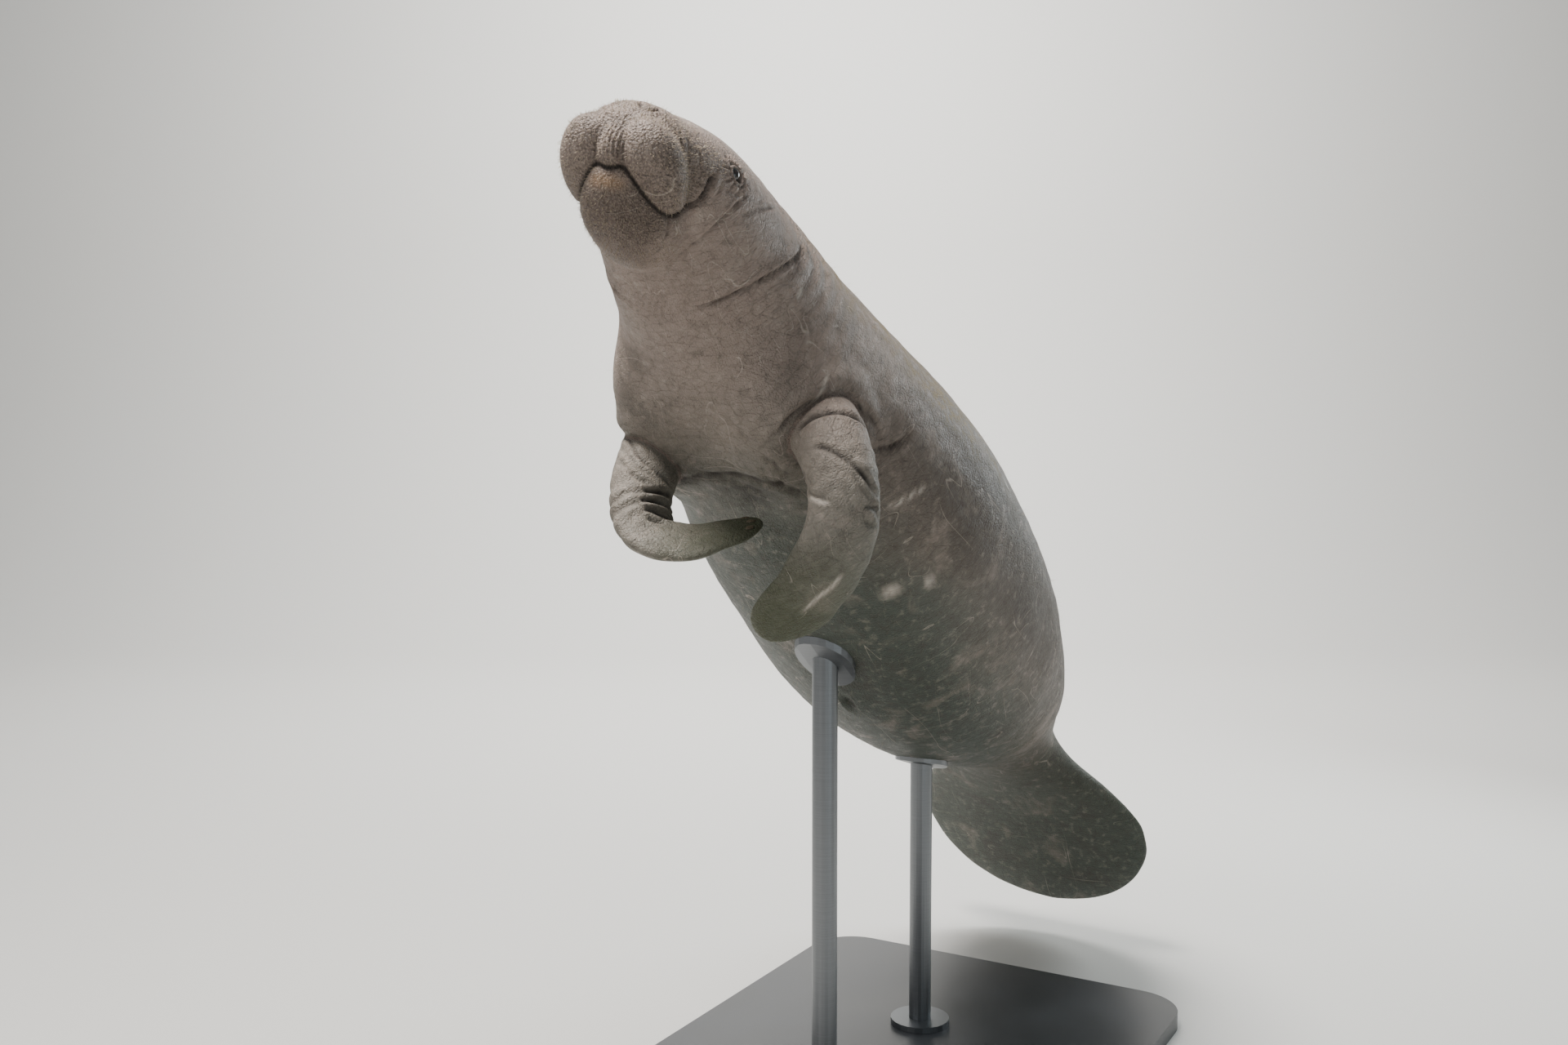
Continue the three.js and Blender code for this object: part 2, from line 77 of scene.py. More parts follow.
# Nails on the flipper's grid: the middle one's row, how far back the others sit, and how far apart
NAIL_ROW = dict(middle=126, back=4, apart=9)
NAIL_TURN = {"left": 0.25, "right": 0.75}  # where round the flipper its nails sit, as a share of a turn
# Hair: how many, how long, how thick, how far it leans back, and the seed of its random draws
HAIR = {
    "bristles": (1500, 0.006, 0.00050, 0.5, 21),
    "stubble": (2600, 0.0032, 0.00032, 0.7, 22),
    "body_hairs": (2400, 0.014, 0.00018, 0.7, 23),
}
NAVEL = np.array([1.363, 0, -0.308])
VENT = np.array([2.072, 0, -0.155])

# Flippers: s, x, y, half width, half thickness and twist at stops along the limb, and the way
# that the width points where twist is 0 and where it is 1
FLIPPERS = {
    "left": (
        [(0.652, 0.186, -0.095, 0.068, 0.066, 0), (0.629, 0.260, -0.157, 0.067, 0.056, 0),
         (0.650, 0.308, -0.215, 0.064, 0.045, 0), (0.701, 0.322, -0.281, 0.066, 0.034, 0),
         (0.757, 0.287, -0.347, 0.071, 0.024, 0), (0.806, 0.230, -0.400, 0.072, 0.017, 0),
         (0.849, 0.171, -0.446, 0.060, 0.011, 0)],
        (0.52, 0.58, 0.62), (0.52, 0.58, 0.62)),
    "right": (
        [(0.686, -0.164, -0.179, 0.062, 0.058, 0), (0.669, -0.130, -0.254, 0.062, 0.048, 0.05),
         (0.677, -0.098, -0.328, 0.063, 0.040, 0.25), (0.693, -0.052, -0.371, 0.067, 0.031, 0.75),
         (0.716, 0.015, -0.359, 0.070, 0.021, 1), (0.733, 0.068, -0.318, 0.064, 0.015, 1),
         (0.752, 0.115, -0.269, 0.050, 0.010, 1)],
        (0.81, 0.4, 0.43), (0.43, -0.5, 0.75)),
}

# The camera, from a point of the body line: how far away, aside and above it stands
CAMERA = dict(at=0.28, away=2.865, aside=-0.023, above=0.003, heading=-30, tilt=-3.81, lens=33.75)

STEPS = 290  # of the body line
FAR = 0.46  # further than the body reaches from its line
AROUND = 204  # spots round one ring of the body
RINGS = dict(cap=88, front=168, trunk=54, tail=42)
FRONT_END, TRUNK_END = 0.95, 2.15  # places along the body where the rings get further apart


def through(places, values, at):
    """A smooth curve through values at given places: cubic, its slope at each place the mean
    of the neighbours' slopes."""
    places, values = np.asarray(places, float), np.asarray(values, float)
    last = len(places) - 1
    k = np.arange(last + 1)
    low, high = np.maximum(k - 1, 0), np.minimum(k + 1, last)
    slope = (values[high] - values[low]) / (places[high] - places[low])
    at = np.clip(at, places[0], places[-1])
    i = np.clip(np.searchsorted(places, at, side="right") - 1, 0, last - 1)
    span = places[i + 1] - places[i]
    t = (at - places[i]) / span
    return ((2 * t**3 - 3 * t**2 + 1) * values[i] + (t**3 - 2 * t**2 + t) * span * slope[i]
            + (3 * t**2 - 2 * t**3) * values[i + 1] + (t**3 - t**2) * span * slope[i + 1])


def unit(v):
    """Each vector of an array, made one metre long."""
    return v / np.maximum(np.linalg.norm(v, axis=-1, keepdims=True), 1e-12)


def body_line():
    """The body line as four arrays: place, along, left and up. The heading, drop and roll are
    smooth curves over the length, and the place is the running sum of the direction."""
    at = np.linspace(0, 1, STEPS + 1)
    heading, drop, roll = (np.radians(through(LINE["at"], LINE[k], at)) for k in ("heading", "drop", "roll"))
    along = np.stack([np.cos(drop) * np.sin(heading), np.cos(drop) * np.cos(heading), -np.sin(drop)], -1)
    plumb = unit(np.array([0, 0, 1.0]) - along * along[:, 2:])
    side = np.cross(along, plumb)
    cos, sin = np.cos(roll)[:, None], np.sin(roll)[:, None]
    place = np.zeros_like(along)
    place[1:] = np.cumsum((along[1:] + along[:-1]) / 2, 0) * LENGTH / STEPS
    return place, along, side * cos - plumb * sin, plumb * cos + side * sin


PLACE, ALONG, LEFT, UP = body_line()
START = np.zeros(3)


def bend(spots):
    """Body coordinates to the part's frame: the line's place at s, plus x of its left and y of
    its up, all read between the line's steps."""
    spots = np.asarray(spots, float)
    s, x, y = spots[..., 0], spots[..., 1], spots[..., 2]
    step = np.clip(s / LENGTH, 0, 1) * STEPS
    read = lambda a: np.stack([np.interp(step, np.arange(STEPS + 1), a[:, k]) for k in range(3)], -1)
    beyond = (s - np.clip(s, 0, LENGTH))[..., None]
    return (read(PLACE) + unit(read(LEFT)) * x[..., None] + unit(read(UP)) * y[..., None]
            + unit(read(ALONG)) * beyond + START)


# The line starts where the CAD's left eye puts it.
eye_low, eye_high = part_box("eye_left")
eye_centre = (np.array(eye_low) + np.array(eye_high)) / 2
START = eye_centre - bend(EYE - [0, EYE_SUNK, 0])


def section(s):
    """Half width, half height and middle of the section at s. The snout and the paddle's end
    are rounded as a quarter circle and a quarter ellipse."""
    at = np.asarray(s) / LENGTH
    past = np.clip((at - PADDLE_ROUND_FROM) / (1 - PADDLE_ROUND_FROM), 0, 1)
    before = np.clip((SNOUT_ROUND - np.asarray(s)) / SNOUT_ROUND, 0, 1)
    tail, snout = np.sqrt(1 - past**2), np.sqrt(1 - before**2)
    half, top, bottom = (through(SECTIONS[:, 0], SECTIONS[:, k], at) for k in (1, 2, 3))
    tall = (top + bottom) / 2 * np.sqrt(tail) * snout
    return np.maximum(half * tail * snout, 1e-5), np.maximum(tall, 1e-5), (top - bottom) / 2


def tube_distance(s, x, y):
    """Distance to the plain body along a ray from the section's middle, less than 0 inside."""
    half, tall, middle = section(s)
    up = y - middle
    share, reach = np.hypot(x / half, up / tall), np.hypot(x, up)
    d = np.where(share < 1e-6, -tall, reach * (share - 1) / np.maximum(share, 1e-6))
    return np.where((s <= 0) | (s >= LENGTH), 0.05, d)


def lobe_distance(lobe, s, x, y):
    """Distance to an ellipsoid along a ray from its centre, less than 0 inside. Lobes are
    mirrored on the two sides of the body."""
    yaw, pitch, roll = (math.radians(lobe[k]) for k in ("yaw", "pitch", "roll"))
    ds, dx, dy = s - lobe["s"], np.abs(x) - lobe["x"], y - lobe["y"]
    s1, x1 = ds * math.cos(yaw) + dx * math.sin(yaw), dx * math.cos(yaw) - ds * math.sin(yaw)
    s2, y1 = s1 * math.cos(pitch) - dy * math.sin(pitch), s1 * math.sin(pitch) + dy * math.cos(pitch)
    x2, y2 = x1 * math.cos(roll) - y1 * math.sin(roll), x1 * math.sin(roll) + y1 * math.cos(roll)
    share = np.sqrt((s2 / lobe["rs"])**2 + (x2 / lobe["rx"])**2 + (y2 / lobe["ry"])**2)
    reach = np.sqrt(s2**2 + x2**2 + y2**2)
    return np.where(share < 1e-6, -lobe["rx"], reach * (share - 1) / np.maximum(share, 1e-6))


def run_together(a, b, width):
    """The lesser of two distances, rounded where they are within a width of each other."""
    h = np.maximum(width - np.abs(a - b), 0) / width
    return np.minimum(a, b) - h * h * width / 4


def jaw_and_lip(s, x, y):
    """Distances to the bare trunk, to it with its upper lip and pads, and to it with its jaw."""
    trunk = run_together(tube_distance(s, x, y), lobe_distance(SHOULDER, s, x, y), BLEND["shoulder"])
    pads = run_together(trunk, lobe_distance(LIP_PAD, s, x, y), BLEND["pad"])
    upper = run_together(pads, lobe_distance(UPPER_LIP, s, x, y), BLEND["lip"])
    return trunk, upper, run_together(trunk, lobe_distance(JAW, s, x, y), BLEND["jaw"])


def body_distance(s, x, y):
    """Distance to the whole body, less than 0 inside."""
    return run_together(*jaw_and_lip(s, x, y)[1:], BLEND["mouth"])


def reach_out(s, y, way):
    """How far the body reaches from points (s, 0, y) in directions way: the last crossing of
    90 even steps, then halved 14 times."""
    steps = 90
    r = np.linspace(0, FAR, steps)
    last = np.zeros(s.shape, int)
    for k in range(steps):
        inside = body_distance(s + way[..., 0] * r[k], way[..., 1] * r[k], y + way[..., 2] * r[k]) < 0
        last[inside] = k
    low = r[last]
    high = low + r[1]
    for _ in range(14):
        half = (low + high) / 2
        inside = body_distance(s + way[..., 0] * half, way[..., 1] * half, y + way[..., 2] * half) < 0
        low, high = np.where(inside, half, low), np.where(inside, high, half)
    return low


def spread(low, high, count, dense=()):
    """Count places from low to high, closer together near each dense place, which is a
    tuple of place, width and strength."""
    fine = np.linspace(low, high, 4000)
    weight = np.ones_like(fine)
    for place, width, strength in dense:
        weight += strength * np.exp(-(((fine - place) / width) ** 2))
    total = np.concatenate([[0], np.cumsum((weight[1:] + weight[:-1]) / 2)])
    return np.interp(np.linspace(0, total[-1], count), total, fine)


def body_turns():
    """Angles round the body from the back over the left side, closer together at the eyes."""
    eye = math.atan2(EYE[1], EYE[2] + 0.018)
    turns = spread(0, 2 * math.pi, AROUND + 1, [(eye, 0.16, 1.8), (2 * math.pi - eye, 0.16, 1.8)])
    return (turns[1:] + turns[:-1]) / 2


def body_spots():
    """The body's skin in body coordinates, and the way outwards, on a grid of rings. The
    head's front is rays from one point at growing angles, the rest is rays across the line."""
    turns = body_turns()
    angles = spread(math.radians(0.8), math.pi / 2, RINGS["cap"])
    a, t = np.meshgrid(angles, turns, indexing="ij")
    way = np.stack([-np.cos(a), np.sin(a) * np.sin(t), np.sin(a) * np.cos(t)], -1)
    s, y = np.full(a.shape, CAP_CENTRE[0]), np.full(a.shape, CAP_CENTRE[1])
    r = reach_out(s, y, way)
    cap = np.stack([s + way[..., 0] * r, way[..., 1] * r, y + way[..., 2] * r], -1)
    dense = [(EYE[0], 0.03, 3.2), (0.3, 0.12, 0.5), (0.68, 0.10, 0.9)]  # eyes, throat and shoulders
    quarter = np.linspace(0, math.pi / 2, RINGS["tail"])[1:]
    stations = np.concatenate([
        spread(CAP_CENTRE[0], FRONT_END, RINGS["front"], dense)[1:],
        np.linspace(FRONT_END, TRUNK_END, RINGS["trunk"])[1:],
        TRUNK_END + (LENGTH * 0.9996 - TRUNK_END) * np.sin(quarter) ** 0.95,
    ])
    s, t = np.meshgrid(stations, turns, indexing="ij")
    half, tall, middle = section(s)
    y = CAP_CENTRE[1] + (middle - CAP_CENTRE[1]) * np.clip((s - CAP_CENTRE[0]) / 0.2, 0, 1)
    across = np.stack([np.zeros(t.shape), np.sin(t), np.cos(t)], -1)
    front = stations < FRONT_END
    rings = np.stack([s, half * np.sin(t), middle + tall * np.cos(t)], -1)
    r = reach_out(s[front], y[front], across[front])
    rings[front] = np.stack([s[front], across[front][..., 1] * r, y[front] + across[front][..., 2] * r], -1)
    return np.concatenate([cap, rings]), np.concatenate([way, across])


def flipper_spots(name, count=148, around=90):
    """One flipper in body coordinates: flat ovals carried along a curve through its stops,
    and the way outwards. The tip is rounded as a quarter ellipse."""
    stops, root_lay, tip_lay = FLIPPERS[name]
    stops = np.array(stops)
    marks, end = np.arange(len(stops)), len(stops) - 1
    value = lambda k, t: through(marks, stops[:, k], t)
    t = end * spread(0, 0.9995, count, [(1.0, 0.05, 6), (0.35, 0.25, 1.2)])
    centre = np.stack([value(k, t) for k in range(3)], -1)
    after, before = np.minimum(t + 0.02, end), np.maximum(t - 0.02, 0)
    ahead = unit(np.stack([value(k, after) - value(k, before) for k in range(3)], -1))
    twist = value(5, t)[:, None]
    lay = np.array(root_lay) * (1 - twist) + np.array(tip_lay) * twist
    wide = unit(lay - ahead * (ahead * lay).sum(1, keepdims=True))
    flat = np.cross(ahead, wide)
    past = np.clip((t / end - TIP_ROUND_FROM) / (1 - TIP_ROUND_FROM), 0, 1)
    round_off = np.sqrt(1 - past**2)
    half = (value(3, t) * np.maximum(round_off, 0.012))[:, None, None]
    thick = (value(4, t) * np.maximum(np.sqrt(round_off), 0.05))[:, None, None]
    turn = (np.arange(around) + 0.5) / around * 2 * math.pi
    c, d = np.cos(turn)[None, :, None], np.sin(turn)[None, :, None]
    spots = centre[:, None] + wide[:, None] * half * c + flat[:, None] * thick * d
    return spots, unit(wide[:, None] * c / half + flat[:, None] * d / thick)


def smooth_path(points, step=0.0015):
    """Points close together on a curve through a few given ones."""
    points = np.array(points, float)
    length = np.linalg.norm(np.diff(points, axis=0), axis=1).sum()
    marks = np.arange(len(points))
    at = np.linspace(0, len(points) - 1, max(int(length / step), 4))
    return np.stack([through(marks, points[:, k], at) for k in range(3)], -1)


def nearest(spots, path, within):
    """Distance of each spot to the nearest point of a path, and that point's index. Spots
    outside the path's own box, grown by within, are far."""
    flat = spots.reshape(-1, 3)
    far, index = np.full(len(flat), 9.0), np.zeros(len(flat), int)
    close = np.nonzero(np.all((flat > path.min(0) - within) & (flat < path.max(0) + within), axis=1))[0]
    for part in np.array_split(close, max(len(close) // 4000, 1)):
        if len(part):
            gap = np.linalg.norm(flat[part, None] - path[None], axis=2)
            far[part], index[part] = gap.min(1), gap.argmin(1)
    return far.reshape(spots.shape[:-1]), index.reshape(spots.shape[:-1])


def laid_on(path, spots, way):
    """A path moved outwards or inwards onto the skin, by up to 3 cm."""
    flat, out = spots.reshape(-1, 3), way.reshape(-1, 3)
    low, high = path.min(0) - 0.04, path.max(0) + 0.04
    close = np.nonzero(np.all((flat > low) & (flat < high), axis=1))[0]
    if not len(close):
        return path
    index = close[[np.linalg.norm(flat[close] - p, axis=1).argmin() for p in path]]
    rise = ((flat[index] - path) * out[index]).sum(1)
    rise = np.convolve(np.pad(rise, 4, mode="edge"), np.full(9, 1 / 9), mode="valid")
    return path + out[index] * np.clip(rise, -0.03, 0.03)[:, None]


def bell(d, width):
    """A bump of height 1 that falls off over a width."""
    return np.exp(-((d / width) ** 2))


def fold(spots, way, points, depth, width, lip=0.35):
    """A crease along a path: a groove of the depth with a soft raised lip on both sides, both
    dying out at the ends."""
    path = laid_on(smooth_path(points), spots, way)
    d, index = nearest(spots, path, 4 * width)
    share = index / (len(path) - 1)
    fade = np.clip(np.sin(np.pi * np.clip(share, 0.03, 0.97)) * 2.2, 0, 1)
    return depth * fade * (lip * bell(d - 2.1 * width, width) - bell(d, width)), bell(d, width) * fade


def folds(spots, way, creases, full, strength=1.0):
    """Several creases together, with their painted shade, which is full at a depth."""
    out, dark = np.zeros(spots.shape[:-1]), np.zeros(spots.shape[:-1])
    uneven = np.clip(0.95 + 0.35 * swell(spots, 12, 0.035), 0.4, 1.2)
    for points, depth, width in creases:
        rise, close = fold(spots, way, points, depth * strength, width)
        out += rise * uneven
        dark = np.maximum(dark, close * uneven * min(depth / full, 1) * strength)
    return out, dark


def scars(spots, way, paths, width):
    """Healed cuts, each a shallow crease, with their paleness."""
    out, pale = np.zeros(spots.shape[:-1]), np.zeros(spots.shape[:-1])
    for points in paths.values():
        rise, close = fold(spots, way, points, 0.0012, width, 0.2)
        out += rise
        pale = np.maximum(pale, close)
    return out, pale


# Creases and scars: their stops in body coordinates, and for a crease its depth and width
HEAD_FOLDS = {
    "mouth corner to cheek": ([(0.128, 0.090, -0.100), (0.134, 0.100, -0.080), (0.146, 0.104, -0.052),
        (0.143, 0.108, -0.028), (0.134, 0.113, -0.010), (0.134, 0.118, 0.012)], 0.0090, 0.0048),
    "behind the pad": ([(0.050, 0.070, 0.034), (0.056, 0.090, 0.000), (0.070, 0.102, -0.030),
        (0.092, 0.108, -0.058), (0.118, 0.104, -0.078)], 0.0030, 0.0036),
    "strip by the pad": ([(0.066, 0.080, 0.030), (0.074, 0.096, 0.002), (0.092, 0.106, -0.028),
        (0.114, 0.108, -0.052)], 0.0012, 0.0026),
    "strip by the cheek": ([(0.088, 0.092, 0.030), (0.098, 0.103, 0.006), (0.114, 0.108, -0.022),
        (0.126, 0.107, -0.044)], 0.0012, 0.0026),
    "below the mouth corner": ([(0.128, 0.090, -0.102), (0.142, 0.084, -0.108), (0.160, 0.074, -0.116)],
        0.0050, 0.0040),
    "cheek to throat": ([(0.214, 0.142, 0.040), (0.200, 0.134, -0.004), (0.203, 0.118, -0.044),
        (0.214, 0.092, -0.074), (0.232, 0.062, -0.098), (0.250, 0.030, -0.112)], 0.0042, 0.0036),
    "below the eye": ([(0.163, 0.127, 0.000), (0.180, 0.133, 0.008), (0.196, 0.138, 0.018)],
        0.0022, 0.0028),
    "before the eye": ([(0.150, 0.122, 0.012), (0.160, 0.120, -0.012), (0.166, 0.116, -0.034)],
        0.0018, 0.0028),
    "behind the eye": ([(0.300, 0.145, 0.080), (0.262, 0.148, 0.048), (0.235, 0.147, 0.018),
        (0.222, 0.140, -0.010)], 0.0030, 0.0032),
    "neck": ([(0.405, 0.165, 0.105), (0.391, 0.172, 0.060), (0.362, 0.170, 0.003),
        (0.344, 0.155, -0.043), (0.336, 0.132, -0.077), (0.334, 0.100, -0.103), (0.333, 0.050, -0.125)],
        0.0060, 0.0042),
    "beside the neck fold": ([(0.430, 0.160, 0.130), (0.415, 0.172, 0.085), (0.392, 0.176, 0.030),
        (0.380, 0.168, -0.020)], 0.0022, 0.0034),
    "cheek": ([(0.108, 0.108, 0.030), (0.113, 0.110, 0.008), (0.117, 0.111, -0.008)], 0.0012, 0.0025),
    "behind the eye, upper": ([(0.262, 0.150, 0.075), (0.244, 0.150, 0.044), (0.226, 0.148, 0.020)],
        0.0016, 0.0025),
    "side of the neck": ([(0.290, 0.160, -0.010), (0.282, 0.150, -0.035), (0.276, 0.134, -0.060)],
        0.0018, 0.0028),
    "throat, rear": ([(0.312, 0.130, -0.070), (0.305, 0.105, -0.095), (0.302, 0.070, -0.115)],
        0.0020, 0.0032),
    "throat, front": ([(0.250, 0.120, -0.062), (0.256, 0.098, -0.086), (0.268, 0.070, -0.104)],
        0.0018, 0.0030),
}
CHEST_FOLDS = {
    "across the chest": ([(0.735, -0.120, -0.222), (0.715, -0.085, -0.225), (0.692, 0.011, -0.223),
        (0.686, 0.085, -0.222), (0.690, 0.150, -0.224), (0.730, 0.195, -0.212)], 0.0050, 0.0080),
    "behind the flipper": ([(0.745, 0.262, -0.086), (0.777, 0.273, -0.048), (0.790, 0.279, -0.006)],
        0.0065, 0.0066),
    "before the flipper": ([(0.612, 0.160, -0.219), (0.634, 0.172, -0.221), (0.652, 0.179, -0.221),
        (0.675, 0.192, -0.216)], 0.0050, 0.0064),
    "before the flipper, lower": ([(0.670, 0.156, -0.227), (0.704, 0.171, -0.224),
        (0.733, 0.190, -0.214)], 0.0050, 0.0064),
    "between them": ([(0.640, 0.140, -0.224), (0.668, 0.140, -0.228), (0.700, 0.150, -0.228)],
        0.0034, 0.0062),
    "before the flipper, upper": ([(0.600, 0.150, -0.214), (0.585, 0.168, -0.205),
        (0.566, 0.184, -0.188)], 0.0034, 0.0062),
    "round the flipper": ([(0.585, 0.186, -0.210), (0.563, 0.205, -0.175), (0.563, 0.228, -0.138),
        (0.590, 0.246, -0.100), (0.640, 0.260, -0.068), (0.704, 0.268, -0.052), (0.765, 0.270, -0.064)],
        0.0060, 0.0068),
    "under the flipper": ([(0.780, 0.225, -0.180), (0.800, 0.245, -0.150), (0.806, 0.262, -0.115)],
        0.0040, 0.0064),
}
SCARS = {
    "shoulder": [(0.556, 0.236, -0.060), (0.567, 0.236, -0.100), (0.578, 0.233, -0.132)],
    "belly": [(1.012, 0.185, -0.231), (1.024, 0.238, -0.192), (1.049, 0.283, -0.144),
        (1.052, 0.314, -0.082)],
    "flank, front": [(0.859, 0.256, -0.128), (0.871, 0.278, -0.093), (0.886, 0.295, -0.051)],
    "flank, upper": [(1.118, 0.290, 0.138), (1.130, 0.297, 0.128), (1.150, 0.302, 0.122)],
    "flank, rear": [(1.380, 0.290, 0.160), (1.470, 0.300, 0.140), (1.560, 0.290, 0.140)],
    "neck": [(0.425, 0.190, 0.020), (0.430, 0.193, 0.004), (0.428, 0.193, -0.006)],
    "back": [(0.930, 0.150, 0.235), (1.050, 0.120, 0.262), (1.180, 0.130, 0.268)],
    "rump": [(1.600, -0.150, 0.225), (1.720, -0.170, 0.190)],
    "right side": [(0.800, -0.250, 0.090), (0.900, -0.275, 0.060), (0.980, -0.300, 0.020)],
}
FLIPPER_FOLDS = {
    "left": {
        "root": ([(0.584, 0.218, -0.184), (0.570, 0.239, -0.154), (0.578, 0.267, -0.131),
            (0.600, 0.292, -0.118), (0.642, 0.309, -0.115), (0.653, 0.334, -0.146)], 0.0070, 0.0064),
        "elbow": ([(0.579, 0.261, -0.206), (0.586, 0.301, -0.202), (0.611, 0.335, -0.206),
            (0.644, 0.357, -0.211), (0.681, 0.368, -0.222)], 0.0055, 0.0060),
        "outer edge": ([(0.613, 0.336, -0.212), (0.652, 0.359, -0.232), (0.696, 0.371, -0.238),
            (0.730, 0.367, -0.244)], 0.0030, 0.0052),
        "below the elbow": ([(0.622, 0.262, -0.262), (0.630, 0.290, -0.270), (0.640, 0.318, -0.268)],
            0.0030, 0.0052),
        "edge, upper": ([(0.671, 0.363, -0.252), (0.689, 0.370, -0.240), (0.705, 0.367, -0.226)],
            0.0036, 0.0050),
        "edge, lower": ([(0.694, 0.366, -0.266), (0.706, 0.369, -0.263), (0.717, 0.370, -0.258)],
            0.0032, 0.0050),
        "inner edge": ([(0.700, 0.255, -0.300), (0.715, 0.285, -0.318), (0.722, 0.320, -0.322)],
            0.0022, 0.0050),
    },
    "right": {
        "elbow 1": ([(0.637, -0.079, -0.318), (0.664, -0.068, -0.297), (0.707, -0.073, -0.274)],
            0.0060, 0.0054),
        "elbow 2": ([(0.637, -0.074, -0.337), (0.667, -0.060, -0.317), (0.716, -0.060, -0.298)],
            0.0065, 0.0056),
        "elbow 3": ([(0.643, -0.061, -0.351), (0.675, -0.049, -0.335), (0.712, -0.040, -0.322)],
            0.0060, 0.0054),
        "elbow 4": ([(0.652, -0.049, -0.361), (0.678, -0.034, -0.351), (0.696, -0.018, -0.341)],
            0.0045, 0.0050),
        "root 1": ([(0.641, -0.206, -0.187), (0.614, -0.129, -0.247), (0.641, -0.087, -0.265),
            (0.697, -0.073, -0.266)], 0.0040, 0.0052),
        "root 2": ([(0.630, -0.186, -0.232), (0.618, -0.111, -0.272), (0.661, -0.074, -0.278)],
            0.0036, 0.0050),
        "root 3": ([(0.615, -0.157, -0.270), (0.618, -0.107, -0.294), (0.649, -0.075, -0.298)],
            0.0034, 0.0050),
    },
}
FLIPPER_SCARS = {
    "left": {
        "tip": [(0.760, 0.328, -0.339), (0.774, 0.310, -0.358), (0.784, 0.287, -0.378),
            (0.805, 0.251, -0.405)],
        "below the elbow": [(0.629, 0.276, -0.277), (0.627, 0.305, -0.283), (0.635, 0.323, -0.281)],
    },
    "right": {},
}
# Wrinkles across the elbows: where along the flipper, how wide and how deep
ELBOW_WRINKLES = {"left": (0.30, 0.10, 0.0010), "right": (0.36, 0.11, 0.0026)}
NOSTRIL_ARC = [(0.030, 0.012, 0.030), (0.017, 0.018, 0.024), (0.012, 0.027, 0.018), (0.018, 0.037, 0.018),
               (0.031, 0.042, 0.026)]


def mirrored(spots):
    """Spots with the right side laid over the left one."""
    return spots * [1, 0, 1] + np.abs(spots) * [0, 1, 0]


def swell(spots, seed, size, count=9):
    """A gentle unevenness: waves in random directions, about size long, added up, within 1."""
    rng = np.random.default_rng(seed)
    total = np.zeros(spots.shape[:-1])
    for _ in range(count):
        way = unit(rng.normal(size=3)) * rng.uniform(0.7, 1.6) * 2 * math.pi / size
        total += np.sin(spots @ way + rng.uniform(0, 2 * math.pi))
    return total / count ** 0.5 / 1.6


def eye_relief(both):
    """An eye's surround, a sum of bells of the distance r from its centre: a pit that the
    eyeball fills, a rim of lid, a groove round that, and wrinkles that fan out from it."""
    off = both - EYE
    r = np.sqrt((off[..., 0] * 0.88) ** 2 + (off[..., 1] * 0.55) ** 2 + (off[..., 2] * 1.12) ** 2)
    spoke = np.arctan2(off[..., 2], off[..., 0])
    rim = 0.0034 * bell(r - 0.0138, 0.0024) - 0.0022 * bell(r - 0.0182, 0.0020)
    rim += 0.0018 * bell(r - 0.022, 0.004)
    pit = 0.019 * bell(np.maximum(r - 0.0064, 0), 0.0036)
    fan = 0.0019 * np.sin(13 * spoke + 2 * np.sin(3 * spoke + 1)) + 0.0010 * np.sin(27 * spoke)
    rays = bell(r - 0.026, 0.010)
    # Painted shade with some dark skin: darkest in the pit and the groove round the lid, and in the troughs
    # of the fanned wrinkles
    dark = np.maximum(0.95 * bell(r, 0.0135), 0.6 * bell(r - 0.0182, 0.0024))
    return rim - pit + fan * rays, np.maximum(dark, 0.35 * rays * np.clip(-fan / 0.0019, 0, 1))


def nostril_relief(both, way):
    """Nostrils: closed, crescent shaped, each a deep groove behind a raised flap."""
    d, _ = nearest(both, laid_on(smooth_path(NOSTRIL_ARC), both, way), 0.03)
    # The second value is painted shade in the groove
    return 0.0014 * bell(d - 0.008, 0.006) - 0.005 * bell(d, 0.0030), 0.8 * bell(d, 0.003)


def mouth_relief(s, x, y):
    """The line of the mouth, where upper and lower surfaces are equally near and both stand
    out from the trunk, the upright wrinkles of the upper lip, and the grooves between it and
    the pads, both only above that line."""
    trunk, upper, lower = jaw_and_lip(s, x, y)
    lifted = np.clip((trunk - np.minimum(upper, lower)) / 0.012, 0, 1)
    line = bell(upper - lower, 0.0035) * lifted
    above = np.clip((lower - upper) / 0.004, 0, 1)
    lip = np.clip((0.036 - np.abs(x)) / 0.012, 0, 1) * bell(s - 0.01, 0.05)
    lip = lip * np.clip((y + 0.10) / 0.03, 0, 1) * above
    wrinkles = 0.0011 * np.sin(2 * math.pi * (x + 0.002 * np.sin(y * 80)) / 0.0072) * lip
    pad, middle = lobe_distance(LIP_PAD, s, x, y), lobe_distance(UPPER_LIP, s, x, y)
    groove = bell(pad - middle, 0.007) * bell(np.minimum(pad, middle), 0.02)
    groove = groove * np.clip((0.085 - s) / 0.03, 0, 1) * above
    # The second value is painted shade along the mouth line and in the grooves by the pads
    return wrinkles - 0.0045 * line - 0.0028 * groove, np.maximum(line, 0.42 * groove)


def throat_relief(s, x, y, spots):
    """Fine lengthwise pleats under the chin and soft folds across the nape."""
    throat = bell(s - 0.315, 0.045) * np.clip(-y / 0.1, 0, 1) ** 2 * np.clip(1 - np.abs(x) / 0.13, 0, 1)
    pleats = np.sin(2 * math.pi * (x + 0.010 * np.sin(s * 60)) / 0.014) * throat
    nape = bell(s - 0.42, 0.12) * np.clip((y + 0.10) / 0.15, 0, 1)
    rolls = 0.0020 * nape * np.sin(2 * math.pi * (s + 0.03 * swell(spots, 3, 0.25)) / 0.046)
    # The second value is painted shade in the troughs of the pleats
    return rolls + 0.0022 * pleats, 0.35 * np.clip(-pleats, 0, 1)


